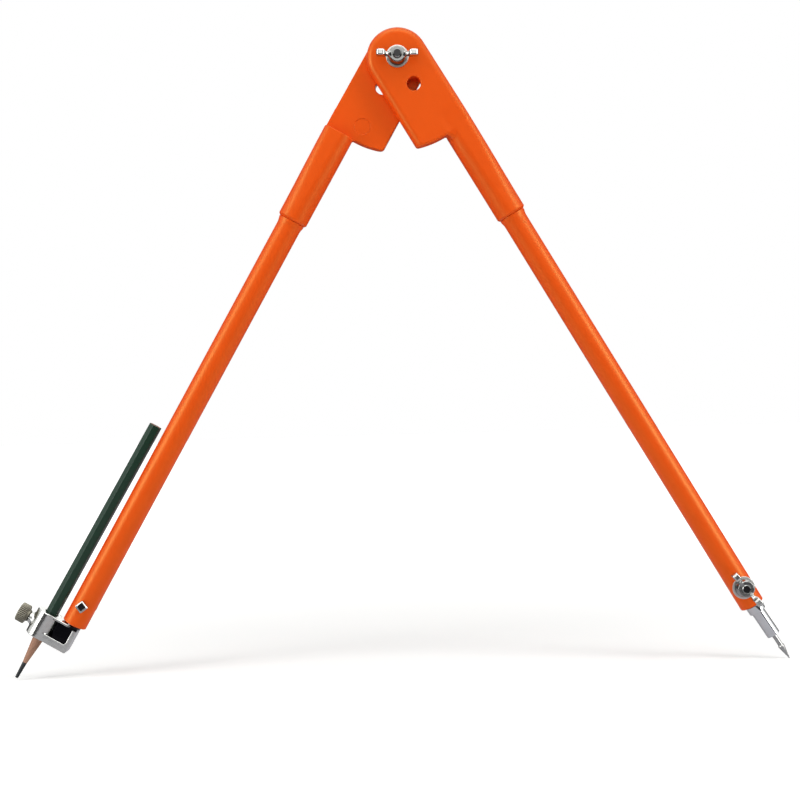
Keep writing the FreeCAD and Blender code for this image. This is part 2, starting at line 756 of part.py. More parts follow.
def leg_frames(dim):
    """Each leg's own frame: the leg along -Z, outward +X, its plate towards -Y."""
    half = dim["legs_opening"].value / 2
    needle = at(0, 0, 0, about_y(-half))
    pencil = at(0, 0, 0, about_y(half).multiply(about_z(180)))
    return needle, pencil


def holder_frame(leg, dim, tilt):
    """The frame of a tip holder: origin on the cross bolt, leaning outward by its tilt."""
    return leg.multiply(at(dim["leg_offset"].value, 0, clamp_height(dim).value, about_y(-tilt.value)))


def build_hinge(doc, dim):
    plate_face = (dim["sleeve_radius"] + dim["plate_proud"]).value
    washer = dim["washer_thickness"].value
    nut_seat = plate_face + washer
    length = (dim["sleeve_radius"] + dim["plate_proud"]) * 2 + dim["washer_thickness"] * 2
    length = length + dim["nut_height"] + dim["hinge_bolt_rise"]
    head_turn = about_z(dim["bolt_head_turn"].value)
    bolt = make_bolt(doc, dim, "hinge_bolt", length)
    bolt.Placement = at(0, nut_seat, 0, FORWARD.multiply(head_turn))
    front = make_washer(doc, dim, "hinge_front_washer")
    front.Placement = at(0, -plate_face, 0, FORWARD)
    rear = make_washer(doc, dim, "hinge_rear_washer")
    rear.Placement = at(0, plate_face, 0, BACKWARD)
    nut = make_wing_nut(doc, dim, "hinge_wing_nut")
    nut.Placement = at(0, -nut_seat, 0, FORWARD.multiply(about_z(dim["hinge_nut_turn"].value)))
    return [bolt, front, rear, nut]


def build_leg(doc, dim, leg, name):
    """Head, tube and cross bolt of one leg; the bolt's nut is on the side of the leg's hinge plate."""
    head = make_arm_head(doc, dim, name + "_arm_head")
    head.Placement = leg
    tube = make_leg_tube(doc, dim, name + "_leg_tube")
    tube.Placement = leg.multiply(at(dim["leg_offset"].value, 0, 0))
    across = leg.multiply(at(dim["leg_offset"].value, 0, clamp_height(dim).value))
    seat = (dim["tube_radius"] + dim["washer_seat_gap"]).value
    nut_seat = seat + dim["washer_thickness"].value
    length = (dim["tube_radius"] + dim["washer_seat_gap"]) * 2 + dim["washer_thickness"]
    length = length + dim["nut_height"] + dim["clamp_bolt_rise"]
    head_turn = about_z(dim["bolt_head_turn"].value)
    bolt = make_bolt(doc, dim, name + "_clamp_bolt", length)
    bolt.Placement = across.multiply(at(0, seat, 0, FORWARD.multiply(head_turn)))
    washer = make_washer(doc, dim, name + "_clamp_washer")
    washer.Placement = across.multiply(at(0, -seat, 0, FORWARD))
    nut = make_wing_nut(doc, dim, name + "_clamp_wing_nut")
    nut_turn = about_z(dim["clamp_nut_turn"].value)
    nut.Placement = across.multiply(at(0, -nut_seat, 0, FORWARD.multiply(nut_turn)))
    return [head, tube, bolt, washer, nut]


def build_needle_end(doc, dim, leg):
    frame = holder_frame(leg, dim, dim["needle_tilt"])
    holder = make_needle_holder(doc, dim, "needle_holder")
    point = make_needle_point(doc, dim, "needle_point")
    holder.Placement = frame
    point.Placement = frame
    return [holder, point]


def build_pencil_end(doc, dim, leg):
    frame = holder_frame(leg, dim, dim["pencil_tilt"])
    holder = make_pencil_holder(doc, dim, "pencil_holder")
    holder.Placement = frame
    screw_frame = frame.multiply(at(0, 0, screw_height(dim).value, about_y(90)))
    stud = make_screw_stud(doc, dim, "thumb_screw_stud")
    stud.Placement = screw_frame
    knob = make_screw_knob(doc, dim, "thumb_screw_knob")
    knob.Placement = screw_frame
    pencil_turn = about_z(dim["pencil_turn"].value)
    pencil_frame = frame.multiply(at(dim["pencil_offset"].value, 0, 0, pencil_turn))
    casing = make_pencil_casing(doc, dim, "pencil_casing")
    casing.Placement = pencil_frame
    lead = make_pencil_lead(doc, dim, "pencil_lead")
    lead.Placement = pencil_frame
    return [holder, stud, knob, casing, lead]


def check_document(doc, bodies):
    for thing in doc.Objects:
        bad = [word for word in thing.State if word in ("Invalid", "Error")]
        if bad:
            raise RuntimeError("%s is %s" % (thing.Label, bad))
    for body in bodies:
        shape = body.Shape
        if shape.isNull() or not shape.isValid() or len(shape.Solids) != 1:
            raise RuntimeError("%s has no single valid solid" % body.Label)


def main():
    os.makedirs("parts", exist_ok=True)
    doc = FreeCAD.newDocument("folding_compass")
    dim = make_sheet(doc)
    needle_leg, pencil_leg = leg_frames(dim)
    bodies = build_hinge(doc, dim)
    bodies += build_leg(doc, dim, needle_leg, "needle")
    bodies += build_leg(doc, dim, pencil_leg, "pencil")
    bodies += build_needle_end(doc, dim, needle_leg)
    bodies += build_pencil_end(doc, dim, pencil_leg)
    doc.recompute()
    check_document(doc, bodies)
    for body in bodies:
        body.Shape.exportStep(os.path.join("parts", body.Label + ".step"))
        print("%-24s volume %10.1f mm3" % (body.Label, body.Shape.Volume))


main()
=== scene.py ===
"""Carpenter's folding compass, dressed for looks: orange moulded arms on a wing-nut hinge, a needle in the
right leg and a clamped pencil on the left one.

Lengths are metres. A leg's own frame has the leg along -Z, outward +X, and its hinge plate towards -Y.
"""

import json
import math

import bmesh
import bpy
import numpy as np
from bpy.props import FloatProperty, FloatVectorProperty, IntProperty, PointerProperty
from mathutils import Matrix, Vector


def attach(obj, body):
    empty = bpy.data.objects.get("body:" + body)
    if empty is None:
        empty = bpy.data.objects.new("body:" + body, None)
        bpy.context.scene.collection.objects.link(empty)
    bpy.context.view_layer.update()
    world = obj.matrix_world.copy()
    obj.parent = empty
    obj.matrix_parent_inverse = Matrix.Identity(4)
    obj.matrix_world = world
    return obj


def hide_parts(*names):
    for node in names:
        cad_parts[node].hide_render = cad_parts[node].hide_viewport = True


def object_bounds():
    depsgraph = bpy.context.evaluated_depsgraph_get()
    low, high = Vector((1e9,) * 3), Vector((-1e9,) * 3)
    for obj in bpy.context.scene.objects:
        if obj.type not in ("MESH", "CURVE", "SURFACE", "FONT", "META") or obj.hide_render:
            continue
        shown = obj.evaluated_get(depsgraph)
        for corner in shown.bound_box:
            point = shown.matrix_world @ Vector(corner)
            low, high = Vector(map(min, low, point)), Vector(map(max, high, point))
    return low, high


bl_info = {
    "name": "Folding Compass",
    "version": (1, 0, 0),
    "blender": (4, 5, 0),
    "location": "View3D > Sidebar > Compass",
    "description": "Builds a carpenter's folding pencil compass and its studio",
    "category": "Add Mesh",
}

MM = 0.001
SHARP_ANGLE = math.radians(28)
# How deep in a casting, in millimetres, painted shade starts to darken the plating and where it is full
PLATE_THINS = 0.8
PLATE_GONE = 3.5
# Near-black painted shade on the bolts' dished heads and cut ends
PAINTED_SHADE_METAL = (0.05, 0.05, 0.05, 1.0)
FAR_FLOOR = (0.03, 0.03, 0.03, 1.0)
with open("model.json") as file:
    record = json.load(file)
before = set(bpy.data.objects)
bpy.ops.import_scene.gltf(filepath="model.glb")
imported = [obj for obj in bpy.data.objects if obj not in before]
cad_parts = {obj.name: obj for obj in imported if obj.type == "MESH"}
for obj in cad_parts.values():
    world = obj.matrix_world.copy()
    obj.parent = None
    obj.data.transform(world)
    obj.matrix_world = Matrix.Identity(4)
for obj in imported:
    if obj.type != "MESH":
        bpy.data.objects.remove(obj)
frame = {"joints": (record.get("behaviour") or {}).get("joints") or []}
CAD_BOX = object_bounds()
JOINTS = {joint["name"]: joint for joint in frame["joints"]}


def linear(hex_colour):
    """An sRGB colour such as "#E8561A" as linear red, green, blue and alpha."""
    parts = [int(hex_colour[i:i + 2], 16) / 255 for i in (1, 3, 5)]
    lit = [p / 12.92 if p <= 0.04045 else ((p + 0.055) / 1.055) ** 2.4 for p in parts]
    return (*lit, 1.0)


def length(name, description, millimetres, low=0.0):
    return FloatProperty(name=name, description=description, default=millimetres * MM, min=low,
                         subtype="DISTANCE", unit="LENGTH", precision=5)


def angle(name, description, degrees):
    return FloatProperty(name=name, description=description, default=math.radians(degrees),
                         subtype="ANGLE", unit="ROTATION")


def colour(name, description, hex_colour):
    return FloatVectorProperty(name=name, description=description, default=linear(hex_colour), size=4,
                               min=0.0, max=1.0, subtype="COLOR")


def settings(context):
    """The arms', hardware's and tips' sizes and the colours, as the scene has them."""
    scene = context.scene
    return scene.compass_arm, scene.compass_hardware, scene.compass_tip, scene.compass_colours


class CompassArmSizes(bpy.types.PropertyGroup):
    """Sizes of the two moulded arms and the leg tubes."""

    head_radius: length("Head radius", "Round end of a hinge plate, also half its width", 18.5)
    plate_reach: length("Plate reach", "Lower arc of a hinge plate, round the hinge", 55.4)
    plate_face: length("Plate face", "Outer face of a hinge plate from the hinge's middle plane", 9.65)
    mating_gap: length("Mating gap", "Gap between the two hinge plates", 0.1)
    edge_round: length("Edge rounding", "Rounding of a plate's outer edges", 4.5)
    toe_round: length("Toe rounding", "Rounding of a plate's lower edge", 1.2)
    toe_run: length("Toe run-out", "How far the plate's face fades out over the sleeve", 12.0)
    swing_gap: length("Swing gap", "Gap between a plate's arc and the other arm's straight step", 0.5)
    leg_offset: length("Leg offset", "Leg axis outward of the line through the hinge", 9.9)
    sleeve_radius: length("Sleeve radius", "Outside of the sleeve", 9.25)
    sleeve_reach: length("Sleeve reach", "Lower end of the sleeve from the hinge", 116.6)
    sleeve_root: length("Sleeve root", "How far the sleeve runs up inside the plate", 12.0)
    inner_corner: length("Sleeve inner corner", "Inner corners of the sleeve's section at the plate", 7.8)
    outer_corner: length("Sleeve outer corner", "Outer corners of the sleeve's section at the plate", 5.0)
    sleeve_bevel: length("Sleeve bevel", "Bevel of the sleeve's lower rim", 1.5)
    socket_depth: length("Socket depth", "Depth of the tube's socket", 47.0)
    peg_radius: length("Through hole", "Radius of the hole below the hinge", 4.25)
    peg_reach: length("Through hole reach", "Hole's centre from the hinge", 18.9)
    ejector_radius: length("Ejector mark", "Radius of the round mark on the mating face", 5.0)
    ejector_reach: length("Ejector reach", "Mark's centre from the hinge", 45.6)
    ejector_side: length("Ejector side", "Mark's centre inward of the middle line", 0.5)
    ejector_depth: length("Ejector depth", "Depth of the mark", 0.3)
    tube_radius: length("Tube radius", "Outside of a leg tube", 7.45)
    tube_wall: length("Tube wall", "Wall of a leg tube", 1.5)
    tube_reach: length("Tube reach", "Lower end of a leg tube from the hinge", 393.6)
    stop_rise: length("Stop ring rise", "Height of the stop ring under the sleeve", 0.8)
    stop_length: length("Stop ring length", "Length of the stop ring's taper", 3.4)
    seat_gap: length("Seat gap", "Gap between a tube and what sits on it or round it", 0.05)
    sink_width: length("Sink width", "Across the plate, where its face sinks to the sleeve's", 5.0)
    sink_start: length("Sink start", "Above the plate's arc, where that sinking starts", 18.0)
    sink_end: length("Sink end", "Above the plate's arc, where that sinking ends", 2.0)
    notch_fillet: length("Notch fillet", "Fillet between the plate's arc and the sleeve's inner side", 1.2)
    step_round: length("Step rounding", "Rounding of the step that the other arm swings by", 0.5)
    peg_round: length("Hole rounding", "Rounding of the through hole's mouth", 0.55)


class CompassHardwareSizes(bpy.types.PropertyGroup):
    """Sizes of the bolts, washers and wing nuts."""

    bolt_radius: length("Bolt radius", "Outside of a bolt's thread", 2.5)
    pitch: length("Thread pitch", "Distance between two turns of a thread", 0.8)
    head_width: length("Head width", "Side of a bolt's square head", 5.6)
    head_height: length("Head height", "Height of a bolt's head", 3.0)
    head_turn: angle("Head turn", "Turn of a bolt's head against its leg", 25.0)
    hinge_rise: length("Hinge bolt rise", "Hinge bolt's end over the top of its nut", 2.5)
    clamp_rise: length("Cross bolt rise", "Cross bolt's end over the top of its nut", 0.5)
    running_gap: length("Running gap", "Clearance round a bolt", 0.05)
    washer_radius: length("Washer radius", "Outside of a washer", 6.8)
    washer_thickness: length("Washer thickness", "Thickness of a washer", 1.0)
    nut_foot: length("Nut foot", "Foot of a wing nut", 5.6)
    nut_top: length("Nut top", "Top of a wing nut's hub", 4.8)
    nut_height: length("Nut height", "Height of a wing nut's hub", 6.8)
    wing_span: length("Wing span", "Over both wings", 25.0)
    wing_height: length("Wing height", "Top of the wings over the foot", 12.0)
    pad_length: length("Pad length", "Thick end of a wing along the span", 5.2)
    pad_height: length("Pad height", "Thick end of a wing along the bolt", 6.6)
    pad_thickness: length("Pad thickness", "Thick end of a wing", 3.6)
    web_thickness: length("Web thickness", "Thin part of a wing next to the hub", 2.2)
    hinge_nut_turn: angle("Hinge nut turn", "Turn of the hinge nut's wings", -1.65)
    clamp_nut_turn: angle("Clamp nut turn", "Turn of a leg nut's wings against the leg", -80.0)


class CompassTipSizes(bpy.types.PropertyGroup):
    """Sizes of the needle end, the pencil holder and the pencil."""

    clamp_inset: length("Bolt inset", "Cross bolt above the tube's lower end", 13.0)
    spigot_radius: length("Spigot radius", "Holder's spigot inside the tube", 4.7)
    spigot_rise: length("Spigot rise", "Spigot's top above the cross bolt", 18.0)
    needle_lean: angle("Needle lean", "Outward lean of the needle holder", 2.5)
    collar_gap: length("Collar gap", "Tube end to the holder's collar", 0.5)
    collar_radius: length("Collar radius", "Collar of the needle holder", 5.3)
    collar_length: length("Collar length", "Length of the collar", 4.8)
    barrel_radius: length("Barrel radius", "Barrel of the needle holder", 4.1)
    barrel_length: length("Barrel length", "Length of the barrel", 17.1)
    needle_radius: length("Needle radius", "Shank of the needle", 1.5)
    needle_grip: length("Needle grip", "Length of needle held in the barrel", 10.0)
    needle_shank: length("Needle shank", "Bare shank of the needle", 8.2)
    point_radius: length("Point radius", "Widest part of the needle's point", 2.0)
    point_length: length("Point length", "Length of the needle's point", 9.2)
    block_gap: length("Block gap", "Tube end to the pencil holder", 0.8)
    block_height: length("Block height", "Height of the holder's block", 16.5)
    block_half_depth: length("Block half depth", "Half the block's depth", 7.0)
    block_inner: length("Block inner side", "Block's inner face from the tube's axis", 4.3)
    pocket_web: length("Pocket web", "Web between the front and rear pockets", 4.0)
    top_wall: length("Top wall", "Wall above a pocket", 1.5)
    side_wall: length("Side wall", "Wall beside a pocket", 2.5)
    bottom_wall: length("Bottom wall", "Wall below a pocket", 4.8)
    channel_radius: length("Channel radius", "Outside of the pencil channel", 7.6)
    channel_shift: length("Channel shift", "Channel's axis outward of the pencil's", 1.1)
    pencil_offset: length("Pencil offset", "Pencil's axis outward of the tube's", 14.9)
    pencil_slip: length("Pencil slip", "Gap round the pencil's corners", 0.3)
    boss_foot: length("Boss foot", "Foot of the thumb screw's boss", 5.2)
    boss_top: length("Boss top", "Top of the thumb screw's boss", 3.4)
    boss_rise: length("Boss rise", "Boss above the channel's outside", 2.2)
    screw_radius: length("Screw radius", "Outside of the thumb screw's thread", 2.0)
    screw_pitch: length("Screw pitch", "Distance between two turns of that thread", 0.7)
    knob_gap: length("Knob gap", "Boss to the knob's neck", 0.3)
    neck_radius: length("Neck radius", "Neck of the knob", 3.7)
    neck_length: length("Neck length", "Length of the knob's neck", 1.3)
    knob_radius: length("Knob radius", "Outside of the knob", 5.9)
    knob_length: length("Knob length", "Length of the knurled part", 5.5)
    knob_cap: length("Knob cap", "Knob's outer wall over the stud's end", 1.0)
    knurl_count: IntProperty(name="Knurl count", description="Grooves round the knob", default=32, min=3)
    knurl_depth: length("Knurl depth", "Depth of a groove", 0.45)
    pencil_flats: length("Pencil flats", "Pencil across its flats", 6.9)
    pencil_turn: angle("Pencil turn", "Turn of the pencil's flats", 48.0)
    pencil_length: length("Pencil length", "Pencil with its point", 174.5)
    pencil_drop: length("Pencil drop", "Pencil's tip below the cross bolt", 58.5)
    lead_radius: length("Lead radius", "Pencil's lead", 1.4)
    lead_bare: length("Bare lead", "Length of bare lead", 10.6)
    lead_tip: length("Lead tip", "Blunt end of the lead", 0.95)
    wood_cone: length("Wood cone", "Sharpened wood, up to the corners", 22.5)


class CompassColours(bpy.types.PropertyGroup):
    """Colours of the finishes."""

    plastic: colour("Plastic", "Orange of the moulded arms and tubes", "#EE4E08")
    plastic_shade: colour("Plastic shade", "Slightly deeper orange that the plastic drifts to", "#E64806")
    casting: colour("Casting", "Nickel plate on the castings and the washers", "#D9D9D4")
    # Painted shade: the near-black painted into the holder's pockets, on the wall over them and on the
    # nuts' hubs
    recess_shade: colour("Recess", "Bare metal in the holder's pockets and on the nuts' hubs", "#17171A")
    chrome: colour("Chrome", "Chrome plate on the needle holder", "#DDDFE0")
    steel: colour("Steel", "Bolts, stud and the castings' duller patches", "#BFC1BE")
    needle: colour("Needle", "Ground steel of the needle", "#B4B4B2")
    knob: colour("Knob", "Dull nickel of the thumb screw", "#8E8A7C")
    # Colour that the knurl's grooves darken to towards their bottoms
    groove_tone: colour("Grime", "Darkened bottoms of the knurl's grooves", "#35332D")
    lacquer: colour("Lacquer", "Dark green of the pencil", "#143424")
    wood: colour("Wood", "Light grain of the pencil's bare wood", "#BC9078")
    wood_grain: colour("Wood grain", "Dark grain of the pencil's bare wood", "#946C58")
    graphite: colour("Graphite", "Pencil's lead", "#2B2F30")
    floor: colour("Floor", "Pale studio floor", "#F4F4F2")
    floor_mirrored: colour("Mirrored floor", "Floor as polished parts show it", "#DCDCE2")


# Placing


def turn(axis, theta):
    return np.array(Matrix.Rotation(theta, 4, axis))


def shift(x, y, z):
    return np.array(Matrix.Translation((x, y, z)))


FORWARD = turn("X", math.radians(90))
BACKWARD = turn("X", math.radians(-90))


def bolt_reach(arm):
    """The cross bolt's distance down the leg, from the frame's joint and the leg's offset."""
    spot = Vector(JOINTS["needle_lean"]["pos_m"])
    return math.sqrt(spot.length_squared - arm.leg_offset ** 2)


def leg_places(arm):
    """The two legs' own frames: each leans out by the angle that its cross bolt has in the frame."""
    spot = JOINTS["needle_lean"]["pos_m"]
    half = math.atan2(spot[0], -spot[2]) - math.atan2(arm.leg_offset, bolt_reach(arm))
    return {"needle": turn("Y", -half), "pencil": turn("Y", half) @ turn("Z", math.pi)}


def bolt_place(arm, leg):
    """Frame on a leg's cross bolt, with the leg's own directions."""
    return leg_places(arm)[leg] @ shift(arm.leg_offset, 0, -bolt_reach(arm))


def pencil_holder_place(arm):
    """Frame on the pencil leg's cross bolt, leaning as the frame's pencil_slide axis does."""
    up = JOINTS["pencil_slide"]["axis"]
    spot = JOINTS["pencil_lean"]["pos_m"]
    return shift(*spot) @ turn("Y", math.atan2(up[0], up[2])) @ turn("Z", math.pi)


# Meshes


def new_piece(name, points, faces, place, uv=None, normals=None, values=None):
    """A mesh object at the origin: points carried by place, coincident ones merged, faces shaded smooth.

    values are numbers kept as the point attribute "cut".
    """
    world = points.reshape(-1, 3) @ place[:3, :3].T + place[:3, 3]
    mesh = bpy.data.meshes.new(name)
    mesh.from_pydata(world, [], faces)
    if uv is not None:
        mesh.uv_layers.new(name="surface").data.foreach_set("uv", uv.ravel())
    if values is not None:
        mesh.attributes.new("cut", "FLOAT", "POINT").data.foreach_set("value", values.ravel())
    obj = bpy.data.objects.new(name, mesh)
    bpy.context.scene.collection.objects.link(obj)
    if normals is None:
        merged = bmesh.new()
        merged.from_mesh(mesh)
        bmesh.ops.remove_doubles(merged, verts=merged.verts, dist=1e-7)
        bmesh.ops.recalc_face_normals(merged, faces=merged.faces)
        merged.to_mesh(mesh)
        merged.free()
    mesh.shade_smooth()
    if normals is None:
        mesh.set_sharp_from_angle(angle=SHARP_ANGLE)
    else:
        mesh.normals_split_custom_set_from_vertices(normals @ place[:3, :3].T)
    return obj


def skin(name, rows, place, ring=False, values=None):
    """A surface from rows of points, each row closed on itself: quads join each row to the next.

    The UV map holds real distances: round the piece and along it. ring joins the last row to the first too.
    """
    count, around = rows.shape[:2]
    i = np.arange(count if ring else count - 1)[:, None]
    j = np.arange(around)[None, :]
    below = (i + 1) % count
    beside = (j + 1) % around
    corners = (i * around + j, i * around + beside, below * around + beside, below * around + j)
    faces = np.stack(corners, axis=-1).reshape(-1, 4)
    steps = np.linalg.norm(np.diff(rows, axis=0), axis=-1).mean(axis=1)
    along = np.concatenate([[0], np.cumsum(steps)])
    width = np.linalg.norm(rows[:, 0] - rows[:, around // 2], axis=-1).max() * math.pi
    far = np.minimum(i + 1, count - 1)
    u = np.stack(np.broadcast_arrays(j, j + 1, j + 1, j), axis=-1) * width / around
    v = np.stack((along[i], along[i], along[far], along[far]), axis=-1)
    uv = np.stack(np.broadcast_arrays(u, v), axis=-1)
    return new_piece(name, rows, faces, place, uv=uv, values=values)


def soften(outline, radius, steps=4):
    """An open outline with each inner corner replaced by an arc of that radius, or of what fits.

    The arc is the quadratic curve from one tangent point to the other with the corner as its middle point.
    """
    outline = np.asarray(outline, float)
    made = [outline[:1]]
    t = np.linspace(0, 1, steps + 1)[:, None]
    for before, corner, after in zip(outline[:-2], outline[1:-1], outline[2:]):
        back = before - corner
        on = after - corner
        cut = min(radius, np.linalg.norm(back) * 0.45, np.linalg.norm(on) * 0.45)
        start = corner + back / np.linalg.norm(back) * cut
        end = corner + on / np.linalg.norm(on) * cut
        made.append(start * (1 - t) ** 2 + corner * 2 * t * (1 - t) + end * t ** 2)
    made.append(outline[-1:])
    return np.concatenate(made)


def angles(around):
    """That many even angles round a circle, as one row."""
    return np.arange(around)[None, :] * 2 * math.pi / around


def ring_rows(r, z, around):
    """Rings of points about Z: x = r cos(theta), y = r sin(theta)."""
    r, z, theta = np.broadcast_arrays(r, z, angles(around))
    return np.stack([r * np.cos(theta), r * np.sin(theta), z], axis=-1)


def lathe_rows(profile, around=96):
    """A profile of (radius, height) pairs turned about Z."""
    profile = np.asarray(profile, float)
    return ring_rows(profile[:, :1], profile[:, 1:], around)


# Solids given by a distance: negative inside, zero on the surface


def round_max(a, b, r):
    """Overlap of two solids with the convex edge between them rounded to radius r."""
    corner = np.hypot(np.maximum(a + r, 0), np.maximum(b + r, 0))
    return corner + np.minimum(np.maximum(a + r, b + r), 0) - r


def round_min(a, b, r):
    """Union of two solids with the hollow edge between them filled to radius r."""
    return -round_max(-a, -b, r)


def smooth_step(low, high, x):
    """0 below low, 1 above high, 3t^2 - 2t^3 between."""
    t = np.clip((x - low) / (high - low), 0, 1)
    return t * t * (3 - 2 * t)


def box_distance(x, z, low, high, r):
    """Distance to a rectangle from low to high, its corners rounded to radius r."""
    dx = np.abs(x - (low[0] + high[0]) / 2) - (high[0] - low[0]) / 2 + r
    dz = np.abs(z - (low[1] + high[1]) / 2) - (high[1] - low[1]) / 2 + r
    return np.hypot(np.maximum(dx, 0), np.maximum(dz, 0)) + np.minimum(np.maximum(dx, dz), 0) - r


def slab(grid, axis, first, last):
    """The part of a grid from first up to last along one axis."""
    index = [slice(None)] * 3
    index[axis] = slice(first, last)
    return grid[tuple(index)]


def gradient(field, points, reach):
    """Central differences of the field at each point."""
    made = np.empty_like(points)
    for k in range(3):
        ahead = points.copy()
        behind = points.copy()
        ahead[:, k] += reach
        behind[:, k] -= reach
        made[:, k] = (field(*ahead.T) - field(*behind.T)) / (2 * reach)
    return made


def surface_net(name, field, low, high, step, place, mark=None):
    """The surface where field(x, y, z) is zero, as an even mesh of quads.

    The box from low to high is cut into cubes. Each cube that the surface enters has one vertex, at the
    mean of the surface's crossings with the cube's edges, then moved along the field's gradient on to the
    surface. Each grid edge that the surface crosses has one quad, from the four cubes round it. mark gives
    the numbers kept in the point attribute "cut".
    """
    low = np.asarray(low, float)
    cells = np.ceil((np.asarray(high) - low) / step).astype(int)
    axes = [low[k] + step * np.arange(cells[k] + 1) for k in range(3)]
    grid = np.stack(np.meshgrid(*axes, indexing="ij"), axis=-1)
    value = field(grid[..., 0], grid[..., 1], grid[..., 2])
    total = np.zeros((*cells, 3))
    hits = np.zeros(tuple(cells))
    edges = []
    for axis in range(3):
        a = slab(value, axis, 0, -1)
        b = slab(value, axis, 1, None)
        crossed = (a < 0) != (b < 0)
        spot = slab(grid, axis, 0, -1).copy()
        spot[..., axis] += np.where(crossed, a / np.where(crossed, a - b, 1), 0) * step
        spot *= crossed[..., None]
        p, q = [k for k in range(3) if k != axis]
        for i, j in ((0, 0), (0, 1), (1, 0), (1, 1)):
            total += slab(slab(spot, p, i, cells[p] + i), q, j, cells[q] + j)
            hits += slab(slab(crossed, p, i, cells[p] + i), q, j, cells[q] + j)
        edges.append((axis, p, q, crossed, a < 0))
    used = hits > 0
    number = np.zeros(tuple(cells), int)
    number[used] = np.arange(used.sum())
    points = total[used] / hits[used][:, None]
    quads = []
    for axis, p, q, crossed, starts_inside in edges:
        spots = np.argwhere(slab(slab(crossed, p, 1, -1), q, 1, -1))
        spots[:, (p, q)] += 1
        corners = []
        for i, j in ((0, 0), (1, 0), (1, 1), (0, 1)):
            cell = spots.copy()
            cell[:, p] -= i
            cell[:, q] -= j
            corners.append(number[tuple(cell.T)])
        quad = np.stack(corners, axis=1)
        keep = starts_inside[tuple(spots.T)] != (axis == 1)
        quads.append(np.where(keep[:, None], quad, quad[:, ::-1]))
    reach = step * 0.05
    least = 0.25
    for _ in range(3):
        slope = gradient(field, points, reach)
        size = np.maximum((slope ** 2).sum(axis=1, keepdims=True), least)
        move = field(*points.T)[:, None] * slope / size
        points = points - np.clip(move, -step / 2, step / 2)
    slope = gradient(field, points, reach)
    normals = slope / np.linalg.norm(slope, axis=1, keepdims=True)
    values = mark(*points.T) if mark else None
    return new_piece(name, points, np.concatenate(quads), place, normals=normals, values=values)


def dress(obj, finish, body, slot, *nodes):
    """Give a piece its material and body, and let it stand for the CAD nodes named."""
    obj.data.materials.append(finish)
    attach(obj, body)
    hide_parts(*nodes)


# Materials: node and its shorthands, then one function for each finish, whose sizes are millimetres


def node(tree, kind, inputs=None, **options):
    """Add a node: options are its own settings, inputs its sockets' values or what is linked to them."""
    made = tree.nodes.new(kind)
    for key, value in options.items():
        setattr(made, key, value)
    for key, value in (inputs or {}).items():
        if isinstance(value, bpy.types.NodeSocket):
            tree.links.new(value, made.inputs[key])
        else:
            made.inputs[key].default_value = value
    return made


def noise(tree, vector, millimetres, detail=2.0):
    """Soft noise whose patches are that wide."""
    inputs = {"Vector": vector, "Scale": 1.0 / (millimetres * MM), "Detail": detail}
    return node(tree, "ShaderNodeTexNoise", inputs).outputs["Fac"]


def spread(tree, value, low, high, start=0.0, end=1.0):
    """low where the value is start, high where it is end, even between them and held beyond them."""
    ends = {"From Min": start, "From Max": end, "To Min": low, "To Max": high}
    return node(tree, "ShaderNodeMapRange", {"Value": value, **ends}).outputs[0]


def blend(tree, factor, first, second):
    """The first colour where the factor is 0, the second where it is 1."""
    return node(tree, "ShaderNodeMix", {0: factor, 6: first, 7: second}, data_type="RGBA").outputs[2]


def shaded(tree, tone, value):
    """A colour made brighter or darker by a factor."""
    return node(tree, "ShaderNodeHueSaturation", {"Color": tone, "Value": value}).outputs[0]


def bumps(tree, height, strength, millimetres):
    """A normal bent by a height, 0 to 1, that stands for so many millimetres."""
    inputs = {"Height": height, "Strength": strength, "Distance": millimetres * MM}
    return node(tree, "ShaderNodeBump", inputs).outputs[0]


def cut_depth(tree):
    """The point attribute that new_piece keeps, 0 on a mesh without it."""
    return node(tree, "ShaderNodeAttribute", attribute_name="cut").outputs["Fac"]


def object_spot(tree):
    """Place in the piece's own metres."""
    return node(tree, "ShaderNodeTexCoord").outputs["Object"]


def unrolled(tree, around, along):
    """Place on the unrolled surface, in metres round the piece and along it, each times its factor.
    Marks are drawn out in a direction whose factor is small."""
    spot = node(tree, "ShaderNodeTexCoord").outputs["UV"]
    return node(tree, "ShaderNodeMapping", {"Vector": spot, "Scale": (around, along, 1.0)}).outputs[0]


def material(name, paint, *choices):
    """The material of that name. The first time, paint(tree, *choices) gives its surface's inputs."""
    made = bpy.data.materials.get(name)
    if made:
        return made
    made = bpy.data.materials.new(name)
    made.use_nodes = True
    tree = made.node_tree
    tree.nodes.clear()
    shader = node(tree, "ShaderNodeBsdfPrincipled", paint(tree, *choices))
    node(tree, "ShaderNodeOutputMaterial", {"Surface": shader.outputs[0]})
    return made


def orange(tree, colours, patch):
    """ABS coloured right through: the orange drifts over patches that wide, and its sheen stays warm."""
    drift = noise(tree, object_spot(tree), patch, 3.0)
    return {
        "Base Color": blend(tree, drift, colours.plastic, colours.plastic_shade),
        "Specular IOR Level": 0.75, "Specular Tint": (1.0, 0.95, 0.25, 1.0),
    }


def moulded_plastic(tree, colours):
    """Injection-moulded ABS, satin: even colour that drifts slightly, with the tool's fine orange peel."""
    spot = object_spot(tree)
    return {
        **orange(tree, colours, 22),
        "Roughness": spread(tree, noise(tree, spot, 6, 4.0), 0.34, 0.44),
        "Normal": bumps(tree, noise(tree, spot, 0.8), 0.12, 0.06),
    }


def extruded_plastic(tree, colours):
    """Extruded ABS tube: satin like the mouldings, with faint die lines along the leg."""
    lines = noise(tree, unrolled(tree, 1.0, 0.01), 0.7)
    return {
        **orange(tree, colours, 30),
        "Roughness": spread(tree, lines, 0.36, 0.46), "Normal": bumps(tree, lines, 0.15, 0.05),
    }


